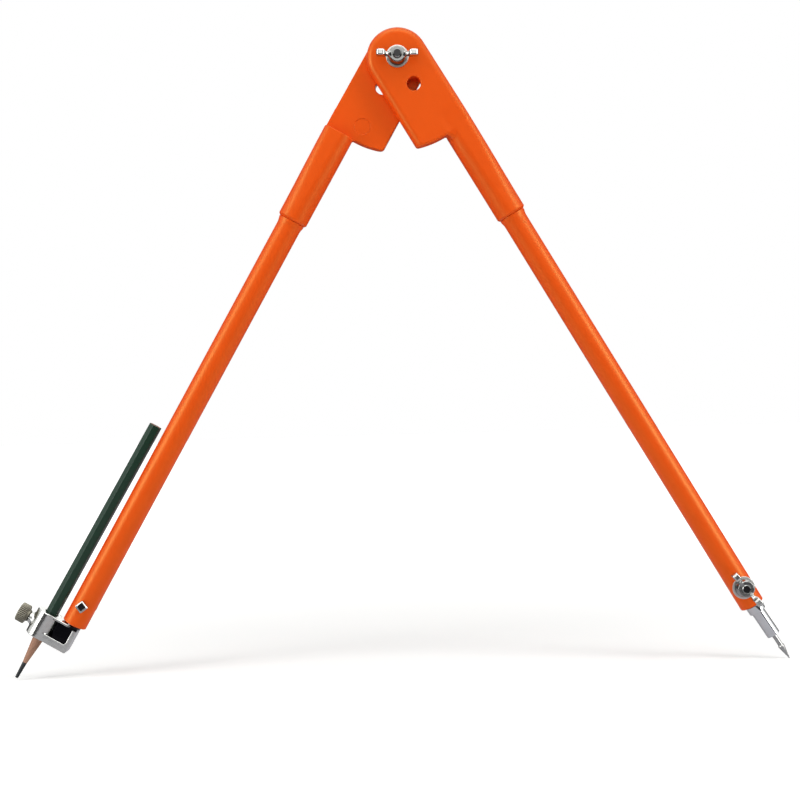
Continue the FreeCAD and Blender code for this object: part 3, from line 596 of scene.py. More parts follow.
def nickel_casting(tree, colours):
    """Nickel-plated die casting: bright, with the casting's soft ripples. Painted shade makes it dark in
    deep pockets, on the thin wall over them and round a nut's hub. The attribute is a depth in millimetres,
    from
    PLATE_THINS to PLATE_GONE."""
    spot = object_spot(tree)
    cloud = noise(tree, spot, 2.5, 4.0)
    plated = blend(tree, cloud, colours.casting, colours.steel)
    # bare is the share of painted shade: near-black in pockets, on the wall over them and on a nut's hub
    bare = spread(tree, cut_depth(tree), 0.0, 1.0, PLATE_THINS, PLATE_GONE)
    return {
        "Base Color": blend(tree, bare, plated, colours.recess_shade), "Metallic": 1.0,
        "Roughness": spread(tree, cloud, 0.10, 0.24),
        "Normal": bumps(tree, noise(tree, spot, 1.6), 0.3, 0.12),
    }


def turned_metal(tree, base, low, high, depth):
    """Metal turned on a lathe: fine rings round the axis, drawn 0.3 mm apart so that they show. Where the
    attribute marks it, painted shade makes it near-black."""
    marks = noise(tree, unrolled(tree, 0.02, 1.0), 0.3)
    plated = shaded(tree, base, spread(tree, noise(tree, object_spot(tree), 5), 0.9, 1.05))
    return {
        "Base Color": blend(tree, cut_depth(tree), plated, PAINTED_SHADE_METAL), "Metallic": 1.0,
        "Roughness": spread(tree, marks, low, high), "Normal": bumps(tree, marks, 0.2, depth),
    }


def bright_zinc(colours):
    """Zinc-plated steel of the bolts and the stud: bright, with faint lines round it."""
    return material("bright_zinc_steel", turned_metal, colours.steel, 0.14, 0.26, 0.03)


def knurled_nickel(tree, colours):
    """Dull nickel-plated steel, knurled: matt ridges, and grooves darkened by handling."""
    groove_tone = spread(tree, cut_depth(tree), 0.0, 1.0, 0.15, 1.0)
    speck = noise(tree, object_spot(tree), 0.7, 3.0)
    return {
        "Base Color": blend(tree, groove_tone, colours.knob, colours.groove_tone), "Metallic": 1.0,
        "Roughness": spread(tree, speck, 0.38, 0.58), "Normal": bumps(tree, speck, 0.4, 0.08),
    }


def pencil_finish(tree, colours):
    """Glossy lacquer over cedar: where the sharpener cut (attribute above zero) the bare grain shows."""
    bare = spread(tree, cut_depth(tree), 0.0, 1.0, 0.0, 0.03)
    grain = noise(tree, unrolled(tree, 1.0, 0.06), 0.6, 4.0)
    wood = blend(tree, grain, colours.wood, colours.wood_grain)
    paint = shaded(tree, colours.lacquer, spread(tree, noise(tree, object_spot(tree), 4, 3.0), 0.88, 1.12))
    return {
        "Base Color": blend(tree, bare, paint, wood), "Roughness": spread(tree, bare, 0.24, 0.7),
        "Normal": bumps(tree, grain, 0.25, 0.04), "Specular IOR Level": 0.35,
    }


def graphite_finish(tree, colours):
    """Pencil lead: dark grey with a soft metallic sheen and the sharpener's scratches round it."""
    marks = noise(tree, unrolled(tree, 0.1, 1.0), 0.25, 3.0)
    return {
        "Base Color": shaded(tree, colours.graphite, spread(tree, marks, 0.8, 1.25)),
        "Roughness": spread(tree, marks, 0.35, 0.55), "Metallic": 0.4,
    }


# The moulded arms and tubes


def arm_distance(x, y, z, arm, hardware):
    """Distance to one arm's moulding in its leg's frame.

    The plate is the slab between the mating plane and the outer face, inside a half circle over the hinge,
    straight sides and an arc round the hinge. Its face sinks to the sleeve's and runs out over it. The
    sleeve turns from a rounded square at the plate into a circle at its bevelled lower rim. The other arm's
    swing, the holes, the ejector mark and the tube's socket are taken away.
    """
    half_gap = arm.mating_gap / 2
    from_hinge = np.hypot(x, z)
    inner_side = arm.leg_offset - arm.sleeve_radius
    outer_side = arm.leg_offset + arm.sleeve_radius
    spread_out = (outer_side - arm.head_radius) * np.clip(-z / arm.plate_reach, 0, 1) * (x > 0)
    side = np.hypot(x, np.maximum(z, 0)) - arm.head_radius - spread_out
    over_sleeve = smooth_step(inner_side, inner_side + arm.sink_width, x)
    sunk = (arm.plate_face - arm.sleeve_radius) * over_sleeve
    sunk = sunk * smooth_step(arm.plate_reach - arm.sink_start, arm.plate_reach - arm.sink_end, -z)
    plate = round_max(side, -y - arm.plate_face + sunk, arm.edge_round)
    run_out = arm.toe_run * over_sleeve
    plate = round_max(plate, from_hinge - arm.plate_reach - run_out, arm.toe_round + run_out)
    plate = np.maximum(plate, y + half_gap - arm.swing_gap * 2)

    below = -arm.sleeve_reach - z
    squared = smooth_step(arm.sleeve_reach, arm.plate_reach, -z)
    corner = np.where(x < arm.leg_offset + 1 * MM, arm.inner_corner, arm.outer_corner)
    corner = arm.sleeve_radius - (arm.sleeve_radius - corner) * squared
    sleeve = box_distance(x, y, (inner_side, -arm.sleeve_radius), (outer_side, arm.sleeve_radius), corner)
    sleeve = np.maximum(sleeve, (sleeve + below + arm.sleeve_bevel) / math.sqrt(2))
    sleeve = round_max(sleeve, below, 0.3 * MM)
    sleeve = np.maximum(sleeve, z + arm.plate_reach - arm.sleeve_root)
    near_toe = smooth_step(8 * MM, 1 * MM, np.abs(z + arm.plate_reach))
    near_side = smooth_step(7 * MM, 3 * MM, np.abs(x - inner_side))
    solid = round_min(plate, sleeve, 0.05 * MM + arm.notch_fillet * near_toe * near_side)

    swing = np.minimum(y + half_gap, z + arm.plate_reach + arm.swing_gap)
    solid = round_max(solid, swing, arm.step_round)
    solid = round_max(solid, arm.peg_radius - np.hypot(x, z + arm.peg_reach), arm.peg_round)
    solid = np.maximum(solid, hardware.bolt_radius + hardware.running_gap - from_hinge)
    mark = arm.ejector_radius - np.hypot(x + arm.ejector_side, z + arm.ejector_reach)
    solid = np.maximum(solid, np.minimum(mark, y + half_gap + arm.ejector_depth))
    inside = arm.tube_radius + arm.seat_gap - np.hypot(x - arm.leg_offset, y)
    return np.maximum(solid, np.minimum(inside, -z - arm.sleeve_reach + arm.socket_depth))


class COMPASS_OT_arms(bpy.types.Operator):
    """Mould the two arm heads"""

    bl_idname = "compass.arms"
    bl_label = "Moulded arms"

    def execute(self, context):
        arm, hardware, _, colours = settings(context)
        step = 0.5 * MM
        edge = 2 * step
        low = (-arm.head_radius - edge, -arm.plate_face - edge, -arm.sleeve_reach - edge)
        high = (arm.head_radius + edge, arm.sleeve_radius + edge, arm.head_radius + edge)
        plastic = material("moulded_abs_orange", moulded_plastic, colours)
        for leg, place in leg_places(arm).items():
            obj = surface_net(leg + "_arm_moulding", lambda x, y, z: arm_distance(x, y, z, arm, hardware),
                              low, high, step, place)
            dress(obj, plastic, leg + "_arm", "arm_plastic", leg + "_arm_head")
        return {"FINISHED"}


class COMPASS_OT_tubes(bpy.types.Operator):
    """Extrude the two leg tubes with their stop rings"""

    bl_idname = "compass.tubes"
    bl_label = "Leg tubes"

    def execute(self, context):
        arm, _, _, colours = settings(context)
        bore = arm.tube_radius - arm.tube_wall
        top = -(arm.sleeve_reach - arm.socket_depth)
        outside = soften([
            (bore, top),
            (arm.tube_radius, top),
            (arm.tube_radius, -arm.sleeve_reach),
            (arm.tube_radius + arm.stop_rise, -arm.sleeve_reach),
            (arm.tube_radius, -arm.sleeve_reach - arm.stop_length),
            (arm.tube_radius, -arm.tube_reach),
            (bore, -arm.tube_reach),
        ], 0.7 * MM)
        plastic = material("extruded_abs_orange", extruded_plastic, colours)
        for leg, place in leg_places(arm).items():
            obj = skin(leg + "_tube", lathe_rows(outside), place @ shift(arm.leg_offset, 0, 0), ring=True)
            dress(obj, plastic, leg + "_arm", "tube_plastic", leg + "_leg_tube")
        return {"FINISHED"}


# Bolts, washers and wing nuts, each about its own Z axis


def thread_rows(radius, pitch, start, end, around=48, steps=8):
    """A threaded rod: radius falls and rises once per pitch as height less the helix's climb grows."""
    count = max(2, int(round((end - start) / pitch * steps)))
    z = np.linspace(start, end, count)[:, None]
    phase = (z / pitch - angles(around) / (2 * math.pi)) % 1.0
    fade = smooth_step(0, pitch, z - start) * smooth_step(0, pitch, end - z)
    depth = 0.36 * pitch
    return ring_rows(radius - depth * np.abs(2 * phase - 1) * fade, z, around)


def bolt_rows(hardware, reach, around=48):
    """Square-headed bolt: dished head below the origin plane, threaded shank above it.

    A ring of the head has radius half the head's width / max(|cos|, |sin|), held in at the corners, times
    its scale. The second array marks the dish and the cut end, which painted shade makes near-black.
    """
    tall = hardware.head_height
    dish = -tall + 0.3 * MM
    heights = [dish, dish, -tall, -tall, -tall + 0.12 * MM, -tall + 0.6 * MM, 0.0]
    scales = [0.0, 0.6, 0.68, 0.78, 0.86, 1.0, 1.0]
    theta = angles(around)
    half = hardware.head_width / 2
    square = half / np.maximum(np.abs(np.cos(theta)), np.abs(np.sin(theta)))
    square = np.minimum(square, half * math.sqrt(2) * 0.94)
    head = ring_rows(square * np.array(scales)[:, None], np.array(heights)[:, None], around)
    thread = thread_rows(hardware.bolt_radius, hardware.pitch, 0.0, reach - 0.5 * MM, around)
    end = lathe_rows([(hardware.bolt_radius * 0.8, reach), (0.0, reach)], around)
    rows = np.concatenate([head, thread, end])
    # painted shade on the dish and on the cut end
    shade_mark = np.zeros(rows.shape[:2])
    shade_mark[:2] = 1
    shade_mark[-2:] = 1
    return rows, shade_mark


def bolted_joints(arm):
    """The three bolted joints: name, body of the bolt and the washers, frame with the nut towards -Y, and
    half the thickness of what is clamped."""
    joints = [("hinge", "needle_arm", np.eye(4), arm.plate_face)]
    for leg in ("needle", "pencil"):
        joints.append((leg + "_clamp", leg + "_arm", bolt_place(arm, leg), arm.tube_radius + arm.seat_gap))
    return joints


class COMPASS_OT_bolts(bpy.types.Operator):
    """Make the three square-headed bolts"""

    bl_idname = "compass.bolts"
    bl_label = "Bolts"

    def execute(self, context):
        arm, hardware, _, colours = settings(context)
        washer = hardware.washer_thickness
        for name, body, place, half in bolted_joints(arm):
            head, rise = half, hardware.clamp_rise
            if name == "hinge":
                head, rise = half + washer, hardware.hinge_rise
            rows, shade_mark = bolt_rows(hardware, head + half + washer + hardware.nut_height + rise)
            place = place @ shift(0, head, 0) @ FORWARD @ turn("Z", hardware.head_turn)
            obj = skin(name + "_bolt_threaded", rows, place, values=shade_mark)
            dress(obj, bright_zinc(colours), body, "bolt_steel", name + "_bolt")
        return {"FINISHED"}


class COMPASS_OT_washers(bpy.types.Operator):
    """Make the four washers"""

    bl_idname = "compass.washers"
    bl_label = "Washers"

    def execute(self, context):
        arm, hardware, _, colours = settings(context)
        hole = hardware.bolt_radius + hardware.running_gap
        middle = (hole + hardware.washer_radius) / 2
        tall = hardware.washer_thickness
        ring = soften([
            (middle, 0), (hardware.washer_radius, 0), (hardware.washer_radius, tall),
            (hole, tall), (hole, 0), (middle, 0),
        ], 0.3 * MM)[:-1]
        plated = material("dull_plated_washer", turned_metal, colours.casting, 0.3, 0.45, 0.03)
        for name, body, place, half in bolted_joints(arm):
            front = place @ shift(0, -half, 0) @ FORWARD
            seats = {"_washer": front}
            if name == "hinge":
                seats = {"_front_washer": front, "_rear_washer": place @ shift(0, half, 0) @ BACKWARD}
            for side, seat in seats.items():
                obj = skin(name + side + "_ring", lathe_rows(ring), seat, ring=True)
                dress(obj, plated, body, "washer_steel", name + side)
        return {"FINISHED"}


def wing_nut_distance(x, y, z, hardware):
    """Distance to a wing nut: a tapered hub, and on each side a thin web that rises into a thick pad."""
    radius = np.hypot(x, y)
    foot = 1.2 * MM
    lean = (hardware.nut_foot - hardware.nut_top) / (hardware.nut_height - foot)
    flank = radius - hardware.nut_foot + lean * np.maximum(z - foot, 0)
    hub = round_max(flank / math.hypot(1, lean), z - hardware.nut_height, 0.5 * MM)
    hub = round_max(hub, -z, 0.3 * MM)

    out = np.abs(x)
    tip = hardware.wing_span / 2
    low = (tip - hardware.pad_length, hardware.wing_height - hardware.pad_height)
    pad = box_distance(out, z, low, (tip, hardware.wing_height), 1.7 * MM)
    start = np.array([2.5, 3.2]) * MM
    end = np.array([tip - 3.2 * MM, hardware.wing_height - 4.0 * MM])
    run = end - start
    share = np.clip(((out - start[0]) * run[0] + (z - start[1]) * run[1]) / (run @ run), 0, 1)
    web = np.hypot(out - start[0] - share * run[0], z - start[1] - share * run[1]) - 2.0 * MM
    shape = round_min(pad, web, 1.0 * MM)
    thick = smooth_step(low[0] - 1.2 * MM, low[0] + 0.4 * MM, out)
    half = (hardware.web_thickness + (hardware.pad_thickness - hardware.web_thickness) * thick) / 2
    wing = round_max(shape, np.abs(y) - half, 0.7 * MM)

    solid = round_min(hub, wing, 0.8 * MM)
    return round_max(solid, hardware.bolt_radius + hardware.running_gap - radius, 0.35 * MM)


def nut_shade(x, y, z, hardware):
    """How much painted shade darkens the hub, on the scale of pocket_depth: more so down its flank, and
    none on the wings.
    """
    hub = smooth_step(hardware.nut_foot + 1.5 * MM, hardware.nut_foot, np.abs(x))
    top_shade = 2.1
    foot_shade = 3.3
    return hub * (top_shade + (foot_shade - top_shade) * smooth_step(hardware.nut_height, 0, z))


class COMPASS_OT_wing_nuts(bpy.types.Operator):
    """Cast the three wing nuts"""

    bl_idname = "compass.wing_nuts"
    bl_label = "Wing nuts"

    def execute(self, context):
        arm, hardware, _, colours = settings(context)
        step = 0.22 * MM
        edge = 0.6 * MM
        reach = hardware.wing_span / 2 + edge
        low = (-reach, -hardware.nut_foot - edge, -edge)
        high = (reach, hardware.nut_foot + edge, hardware.wing_height + edge)
        plated = material("nickel_plated_nut", nickel_casting, colours)
        for name, _, place, half in bolted_joints(arm):
            spin = hardware.hinge_nut_turn if name == "hinge" else hardware.clamp_nut_turn
            place = place @ shift(0, -half - hardware.washer_thickness, 0) @ FORWARD @ turn("Z", spin)
            obj = surface_net(
                name + "_wing_nut_casting", lambda x, y, z: wing_nut_distance(x, y, z, hardware),
                low, high, step, place, lambda x, y, z: nut_shade(x, y, z, hardware),
            )
            dress(obj, plated, name + "_nut", "wing_nut_zinc", name + "_wing_nut")
        return {"FINISHED"}


# The needle end


class COMPASS_OT_needle(bpy.types.Operator):
    """Turn the needle holder and its needle"""

    bl_idname = "compass.needle"
    bl_label = "Needle end"

    def execute(self, context):
        arm, _, tip, colours = settings(context)
        place = bolt_place(arm, "needle") @ turn("Y", -tip.needle_lean)
        collar = -(tip.clamp_inset + tip.collar_gap)
        shoulder = collar - tip.collar_length
        end = shoulder - tip.barrel_length
        holder = soften([
            (0, end + tip.needle_grip),
            (tip.needle_radius, end + tip.needle_grip),
            (tip.needle_radius, end),
            (tip.barrel_radius, end),
            (tip.barrel_radius, shoulder),
            (tip.collar_radius, shoulder),
            (tip.collar_radius, collar),
            (tip.spigot_radius, collar),
            (tip.spigot_radius, tip.spigot_rise),
            (0, tip.spigot_rise),
        ], 0.45 * MM)
        chrome = material("turned_chrome", turned_metal, colours.chrome, 0.05, 0.12, 0.02)
        obj = skin("needle_holder_turned", lathe_rows(holder), place)
        dress(obj, chrome, "needle_tip", "holder_chrome", "needle_holder")
        cone = end - tip.needle_shank
        needle = soften([
            (0, end + tip.needle_grip),
            (tip.needle_radius, end + tip.needle_grip),
            (tip.needle_radius, cone + 0.8 * MM),
            (tip.point_radius, cone),
            (0.25 * MM, cone - tip.point_length + 0.1 * MM),
            (0, cone - tip.point_length),
        ], 0.3 * MM)
        steel = material("ground_needle_steel", turned_metal, colours.needle, 0.16, 0.3, 0.03)
        obj = skin("needle_ground", lathe_rows(needle, 64), place)
        dress(obj, steel, "needle_tip", "needle_steel", "needle_point")
        return {"FINISHED"}


# The pencil end, with its origin on the cross bolt and the pencil outward of the tube


def pencil_corner(tip):
    return tip.pencil_flats / math.sqrt(3)


def block_top(tip):
    return -(tip.clamp_inset + tip.block_gap)


def screw_height(tip):
    return block_top(tip) - tip.block_height / 2


def boss_end(tip):
    return tip.pencil_offset + tip.channel_shift + tip.channel_radius + tip.boss_rise


def pocket_distance(x, z, tip, right):
    """Distance to the outline of a pocket that runs outward up to right."""
    top = block_top(tip)
    low = (-tip.block_inner + tip.side_wall, top - tip.block_height + tip.bottom_wall)
    return box_distance(x, z, low, (right, top - tip.top_wall), 0.9 * MM)


def holder_distance(x, y, z, tip, hardware):
    """Distance to the cast pencil holder.

    A block, hollowed by a pocket front and back, grows into the round pencil channel, which carries the
    thumb screw's tapered boss; a spigot stands on the block. Hollow corners have the casting's fillets.
    """
    top = block_top(tip)
    low = top - tip.block_height
    middle = tip.pencil_offset + tip.channel_shift
    block = box_distance(x, z, (-tip.block_inner, low), (middle, top), 0.8 * MM)
    block = round_max(block, np.abs(y) - tip.block_half_depth, 0.6 * MM)
    hollow = np.maximum(pocket_distance(x, z, tip, middle), tip.pocket_web / 2 - np.abs(y))
    block = round_max(block, -hollow, 0.4 * MM)
    ends = np.abs(z - (top + low) / 2) - tip.block_height / 2
    channel = round_max(np.hypot(x - middle, y) - tip.channel_radius, ends, 0.7 * MM)
    solid = round_min(block, channel, 0.6 * MM)
    boss_line = np.hypot(y, z - screw_height(tip))
    foot = middle + tip.channel_radius / 2
    lean = (tip.boss_foot - tip.boss_top) / (boss_end(tip) - foot)
    boss = boss_line - tip.boss_foot + lean * (x - foot)
    boss = round_max(boss, x - boss_end(tip), 0.4 * MM)
    boss = np.maximum(boss, foot - x)
    solid = round_min(solid, boss, 0.8 * MM)
    stem = round_max(np.hypot(x, y) - tip.spigot_radius, z - tip.spigot_rise, 0.5 * MM)
    stem = np.maximum(stem, low / 2 + top / 2 - z)
    solid = np.minimum(solid, np.maximum(stem, top - 1 * MM - z))
    bore = pencil_corner(tip) + tip.pencil_slip - np.hypot(x - tip.pencil_offset, y)
    solid = round_max(solid, bore, 0.4 * MM)
    thread = np.minimum(tip.screw_radius + hardware.running_gap - boss_line, x - tip.pencil_offset)
    solid = np.maximum(solid, thread)
    cross = hardware.bolt_radius + hardware.running_gap - np.hypot(x, z)
    return np.maximum(solid, cross)


def pocket_depth(x, y, z, tip):
    """How deep a point lies in one of the holder's pockets, in millimetres, which sets how much painted
    shade it gets. The thin wall over a pocket counts as deep: it lies in the tube's shade, which is painted
    on it."""
    top = block_top(tip)
    ceiling = top - tip.top_wall
    on_wall = pocket_distance(x, z, tip, tip.pencil_offset) < 0.15 * MM
    deep = np.where(on_wall, tip.block_half_depth - np.abs(y), 0) / MM
    # painted shade on the thin wall just under the tube's end
    lid = smooth_step(ceiling - 0.6 * MM, ceiling, z) * smooth_step(tip.spigot_radius, 0, x)
    return np.maximum(deep, PLATE_GONE * lid * (z < top + 0.3 * MM))


class COMPASS_OT_pencil_holder(bpy.types.Operator):
    """Cast the pencil holder"""

    bl_idname = "compass.pencil_holder"
    bl_label = "Pencil holder"

    def execute(self, context):
        arm, hardware, tip, colours = settings(context)
        step = 0.3 * MM
        edge = 0.7 * MM
        foot = block_top(tip) - tip.block_height
        low = (-tip.spigot_radius - edge, -tip.channel_radius - edge, foot - edge)
        high = (boss_end(tip) + edge, tip.channel_radius + edge, tip.spigot_rise + edge)
        obj = surface_net("pencil_holder_casting", lambda x, y, z: holder_distance(x, y, z, tip, hardware),
                          low, high, step, pencil_holder_place(arm),
                          lambda x, y, z: pocket_depth(x, y, z, tip))
        plated = material("nickel_plated_bracket", nickel_casting, colours)
        dress(obj, plated, "pencil_clamp", "clamp_casting", "pencil_holder")
        return {"FINISHED"}


def knob_rows(tip, around=384):
    """Knurled knob: the grooves are folds of the radius, |sin| of half the knurl's angle, on the rim alone.
    The second array is how deep in a groove a point lies, 0 to 1."""
    start = boss_end(tip) + tip.knob_gap
    rim = start + tip.neck_length
    end = rim + tip.knob_length
    bevel = 0.6 * MM
    bore = tip.screw_radius
    outline = [
        (bore, start, 0), (tip.neck_radius - 0.3 * MM, start, 0), (tip.neck_radius, start + 0.3 * MM, 0),
        (tip.neck_radius, rim, 0), (tip.knob_radius - bevel, rim, 0),
        (tip.knob_radius - bevel / 3, rim + bevel / 3, 0.6), (tip.knob_radius, rim + bevel, 1),
        (tip.knob_radius, end - bevel, 1), (tip.knob_radius - bevel / 3, end - bevel / 3, 0.6),
        (tip.knob_radius - bevel, end, 0), (tip.knob_radius - 2 * bevel, end, 0),
        (tip.knob_radius - 2.4 * bevel, end - 0.15 * MM, 0), (0, end - 0.15 * MM, 0),
    ]
    r, z, share = np.array(outline).T[:, :, None]
    depth = share * (1 - np.abs(np.sin(angles(around) * tip.knurl_count / 2)))
    return ring_rows(r - depth * tip.knurl_depth, z, around), depth


class COMPASS_OT_thumb_screw(bpy.types.Operator):
    """Thread the stud and knurl its knob"""

    bl_idname = "compass.thumb_screw"
    bl_label = "Thumb screw"

    def execute(self, context):
        arm, hardware, tip, colours = settings(context)
        place = pencil_holder_place(arm) @ shift(0, 0, screw_height(tip))
        place = place @ turn("Y", math.radians(90))
        start = tip.pencil_offset + pencil_corner(tip) + hardware.running_gap
        end = boss_end(tip) + tip.knob_gap + tip.neck_length + tip.knob_length - tip.knob_cap
        stud = np.concatenate([
            lathe_rows([(0, start)], 48),
            thread_rows(tip.screw_radius, tip.screw_pitch, start, end),
            lathe_rows([(0, end)], 48),
        ])
        obj = skin("thumb_screw_thread", stud, place)
        dress(obj, bright_zinc(colours), "thumb_screw", "stud_steel", "thumb_screw_stud")
        rows, depth = knob_rows(tip)
        obj = skin("thumb_screw_knurled", rows, place, values=depth)
        nickel = material("knurled_dull_nickel", knurled_nickel, colours)
        dress(obj, nickel, "thumb_screw", "knob_steel", "thumb_screw_knob")
        return {"FINISHED"}


def casing_rows(tip, around=192):
    """Hexagonal pencil: radius is the lesser of the hexagon's and the sharpener's cone's at each height.

    The hexagon's corners are cut softly by a slightly smaller circle: -ln(exp(-a/s) + exp(-b/s)) s is a
    smooth lesser of a and b. The second array is how deep the cone cuts under the hexagon, in millimetres,
    so it is above zero on bare wood.
    """
    low = -(tip.pencil_drop - tip.lead_bare)
    top = tip.pencil_length - tip.pencil_drop
    flat = tip.pencil_flats / 2
    six = flat / np.cos((angles(around) + math.pi / 6) % (math.pi / 3) - math.pi / 6)
    corner = pencil_corner(tip) * 0.985
    soft = 0.04 * MM
    hexagon = -np.log(np.exp(-six / soft) + np.exp(-corner / soft)) * soft
    slope = (pencil_corner(tip) - tip.lead_radius) / tip.wood_cone
    flats_start = low + tip.wood_cone * 0.7
    flats_whole = low + tip.wood_cone * 1.05
    bevel = 0.15 * MM
    z = np.concatenate([
        np.linspace(low, flats_start, 12)[:-1],
        np.linspace(flats_start, flats_whole, 40),
        np.linspace(low + tip.wood_cone * 1.1, top - bevel, 8),
    ])[:, None]
    cone = tip.lead_radius + (z - low) * slope
    cut = (hexagon - cone) / MM
    rows = ring_rows(np.minimum(hexagon, cone), z, around)
    rim = ring_rows(hexagon * (1 - bevel / flat), top, around)
    core = lathe_rows([(tip.lead_radius, top), (tip.lead_radius, low)], around)
    bare = np.ones((3, around))
    return np.concatenate([core[1:], rows, rim, core[:1]]), np.concatenate([bare[:1], cut, bare[:2]])


class COMPASS_OT_pencil(bpy.types.Operator):
    """Make the pencil's casing and lead"""

    bl_idname = "compass.pencil"
    bl_label = "Pencil"

    def execute(self, context):
        arm, _, tip, colours = settings(context)
        place = pencil_holder_place(arm) @ shift(tip.pencil_offset, 0, 0)
        place = place @ turn("Z", tip.pencil_turn)
        rows, cut = casing_rows(tip)
        obj = skin("pencil_hexagonal", rows, place, ring=True, values=cut)
        cedar = material("lacquered_cedar", pencil_finish, colours)
        dress(obj, cedar, "pencil", "pencil_paint", "pencil_casing")
        low = -(tip.pencil_drop - tip.lead_bare)
        top = tip.pencil_length - tip.pencil_drop
        lead = soften([
            (0, -tip.pencil_drop),
            (tip.lead_tip, -tip.pencil_drop),
            (tip.lead_radius, low),
            (tip.lead_radius, top),
            (0, top),
        ], 0.5 * MM)
        obj = skin("pencil_graphite_rod", lathe_rows(lead, 64), place)
        graphite = material("sharpened_graphite", graphite_finish, colours)
        dress(obj, graphite, "pencil", "pencil_graphite", "pencil_lead")
        return {"FINISHED"}


# The studio


class CompassStudio(bpy.types.PropertyGroup):
    """Camera and light of the studio."""

    distance: length("Camera distance", "Camera in front of the hinge's middle plane", 909.0)
    across: length("Camera across", "Camera to the right of the hinge", -4.29, -1.0)
    height: length("Camera height", "Camera over the hinge", -206.0, -1.0)
    roll: angle("Camera roll", "Turn of the picture about the view axis", 1.65)
    lens: FloatProperty(name="Lens", description="Focal length on a 36 mm wide sensor", default=67.5,
                        subtype="DISTANCE_CAMERA")
    side_power: FloatProperty(name="Side lamps", description="Power of each side lamp",
                              default=9.5, unit="POWER")
    top_power: FloatProperty(name="Top lamp", description="Power of the lamp overhead",
                             default=33.0, unit="POWER")
    fill: FloatProperty(name="Fill", description="Brightness of the room for matt surfaces", default=0.15)
    dark: FloatProperty(name="Dark side", default=0.05,
                        description="Brightness that polished surfaces see round the camera")


def add_lamp(name, place, target, size, power):
    """A soft rectangular lamp at place, aimed at target."""
    data = bpy.data.lights.new(name, "AREA")
    data.shape = "RECTANGLE"
    data.size, data.size_y = size
    data.energy = power
    lamp = bpy.data.objects.new(name, data)
    lamp.location = place
    aim = Vector(target) - Vector(place)
    lamp.rotation_euler = aim.to_track_quat("-Z", "Y").to_euler()
    bpy.context.scene.collection.objects.link(lamp)


def light_room(studio):
    """The room: white to the camera, even to matt surfaces. Polished surfaces see a dark studio: a white
    ceiling and white side panels that end beside the object, a white panel over the camera, and a dark back
    wall. x, y and z are the way a ray looks: right, away from the camera and up, each from -1 to 1."""
    world = bpy.data.worlds.new("soft_room")
    bpy.context.scene.world = world
    world.use_nodes = True
    tree = world.node_tree
    tree.nodes.clear()

    def calc(operation, first, second=0.0):
        return node(tree, "ShaderNodeMath", {0: first, 1: second}, operation=operation).outputs[0]

    way = node(tree, "ShaderNodeTexCoord").outputs["Generated"]
    x, y, z = node(tree, "ShaderNodeSeparateXYZ", {"Vector": way}).outputs
    across = calc("ABSOLUTE", x)
    panels = spread(tree, across, 0.0, 1.0, 0.76, 0.86)
    ceiling = spread(tree, z, 0.0, 1.1, 0.3, 0.5)
    before = spread(tree, y, 0.0, 1.0, 0.45, 0.3)
    middle = spread(tree, across, 0.0, 1.0, 0.45, 0.35)
    raised = spread(tree, z, 0.0, 1.4, 0.08, 0.16)
    wall = spread(tree, y, 0.0, 0.1, 0.0, 0.4)
    lit = calc("MULTIPLY", calc("MAXIMUM", panels, ceiling), before)
    for other in (wall, calc("MULTIPLY", middle, raised), studio.dark):
        lit = calc("MAXIMUM", lit, other)
    path = node(tree, "ShaderNodeLightPath").outputs
    level = node(tree, "ShaderNodeMix", {0: path["Is Glossy Ray"], 2: studio.fill, 3: lit}).outputs[0]
    bright = node(tree, "ShaderNodeMix", {0: path["Is Camera Ray"], 2: level, 3: 1.0}).outputs[0]
    back = node(tree, "ShaderNodeBackground", {"Color": (1.0, 1.0, 1.0, 1.0), "Strength": bright})
    node(tree, "ShaderNodeOutputWorld", {"Surface": back.outputs[0]})


def floor_finish(tree, colours):
    """Matt white paper, brighter to the camera and more so away from the object, so that only the object's
    shadow shows on it. Polished parts see it a touch greyer, and dark farther off."""
    spot = object_spot(tree)
    path = node(tree, "ShaderNodeLightPath").outputs
    away = node(tree, "ShaderNodeVectorMath", {0: spot}, operation="LENGTH").outputs["Value"]
    mirrored = blend(tree, spread(tree, away, 0.0, 1.0, 0.48, 0.6), colours.floor_mirrored, FAR_FLOOR)
    glow = {0: path["Is Camera Ray"], 1: spread(tree, away, 0.38, 1.0, 0.4, 1.0)}
    lift = node(tree, "ShaderNodeMath", glow, operation="MULTIPLY").outputs[0]
    return {
        "Base Color": blend(tree, path["Is Glossy Ray"], colours.floor, mirrored),
        "Roughness": spread(tree, noise(tree, spot, 3, 4.0), 0.85, 0.95), "Specular IOR Level": 0.1,
        "Emission Color": (1.0, 1.0, 1.0, 1.0), "Emission Strength": lift,
    }


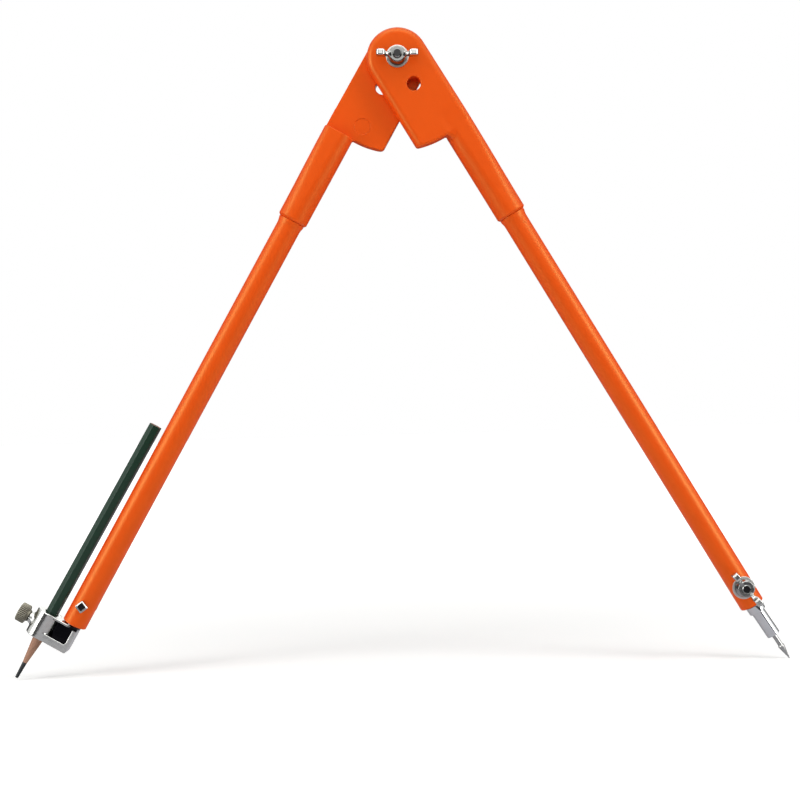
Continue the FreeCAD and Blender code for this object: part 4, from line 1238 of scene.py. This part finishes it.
class COMPASS_OT_stage(bpy.types.Operator):
    """Set up the floor, the lamps, the room and the camera"""

    bl_idname = "compass.stage"
    bl_label = "Studio"

    def execute(self, context):
        scene = context.scene
        studio = scene.compass_studio
        ground = CAD_BOX[0][2]
        half = 6.0
        lines = 13
        across = np.linspace(-half, half, lines)
        x, y = np.meshgrid(across, across, indexing="ij")
        points = np.stack([x, y, np.full_like(x, ground)], axis=-1)
        first = np.arange(lines * (lines - 1)).reshape(-1, lines)[:, :-1]
        faces = np.stack([first, first + lines, first + lines + 1, first + 1], axis=-1).reshape(-1, 4)
        floor = new_piece("studio_floor", points, faces, np.eye(4))
        floor.data.materials.append(material("white_studio_paper", floor_finish, scene.compass_colours))
        middle = (0.0, 0.0, -0.19)
        side_size = (0.4, 1.1)
        add_lamp("left_softbox", (-1.15, -0.6, 0.05), middle, side_size, studio.side_power)
        add_lamp("right_softbox", (1.15, -0.55, 0.05), middle, side_size, studio.side_power)
        add_lamp("top_softbox", (0.0, -1.2, 2.4), middle, (3.0, 1.6), studio.top_power)
        light_room(studio)
        data = bpy.data.cameras.new("photo_camera")
        data.sensor_width = 36.0
        data.lens = studio.lens
        camera = bpy.data.objects.new("photo_camera", data)
        right = Vector((math.cos(studio.roll), 0.0, -math.sin(studio.roll)))
        up = Vector((math.sin(studio.roll), 0.0, math.cos(studio.roll)))
        back = right.cross(up)
        turned = Matrix((right, up, back)).transposed().to_4x4()
        camera.matrix_world = Matrix.Translation((studio.across, -studio.distance, studio.height)) @ turned
        scene.collection.objects.link(camera)
        scene.camera = camera
        scene.view_settings.view_transform = "Standard"
        return {"FINISHED"}


class COMPASS_PT_panel(bpy.types.Panel):
    """Builds the compass piece by piece"""

    bl_idname = "COMPASS_PT_panel"
    bl_label = "Folding compass"
    bl_space_type = "VIEW_3D"
    bl_region_type = "UI"
    bl_category = "Compass"

    def draw(self, context):
        for operator in OPERATORS:
            self.layout.operator(operator.bl_idname)


GROUPS = {
    "compass_arm": CompassArmSizes,
    "compass_hardware": CompassHardwareSizes,
    "compass_tip": CompassTipSizes,
    "compass_colours": CompassColours,
    "compass_studio": CompassStudio,
}
OPERATORS = (
    COMPASS_OT_stage,
    COMPASS_OT_arms,
    COMPASS_OT_tubes,
    COMPASS_OT_bolts,
    COMPASS_OT_washers,
    COMPASS_OT_wing_nuts,
    COMPASS_OT_needle,
    COMPASS_OT_pencil_holder,
    COMPASS_OT_thumb_screw,
    COMPASS_OT_pencil,
)
CLASSES = (*GROUPS.values(), *OPERATORS, COMPASS_PT_panel)


def register():
    for made in CLASSES:
        bpy.utils.register_class(made)
    for name, group in GROUPS.items():
        setattr(bpy.types.Scene, name, PointerProperty(type=group))


def unregister():
    for name in GROUPS:
        delattr(bpy.types.Scene, name)
    for made in reversed(CLASSES):
        bpy.utils.unregister_class(made)


def main():
    register()
    for operator in OPERATORS:
        getattr(bpy.ops.compass, operator.bl_idname.split(".")[1])()


if __name__ == "__main__":
    main()
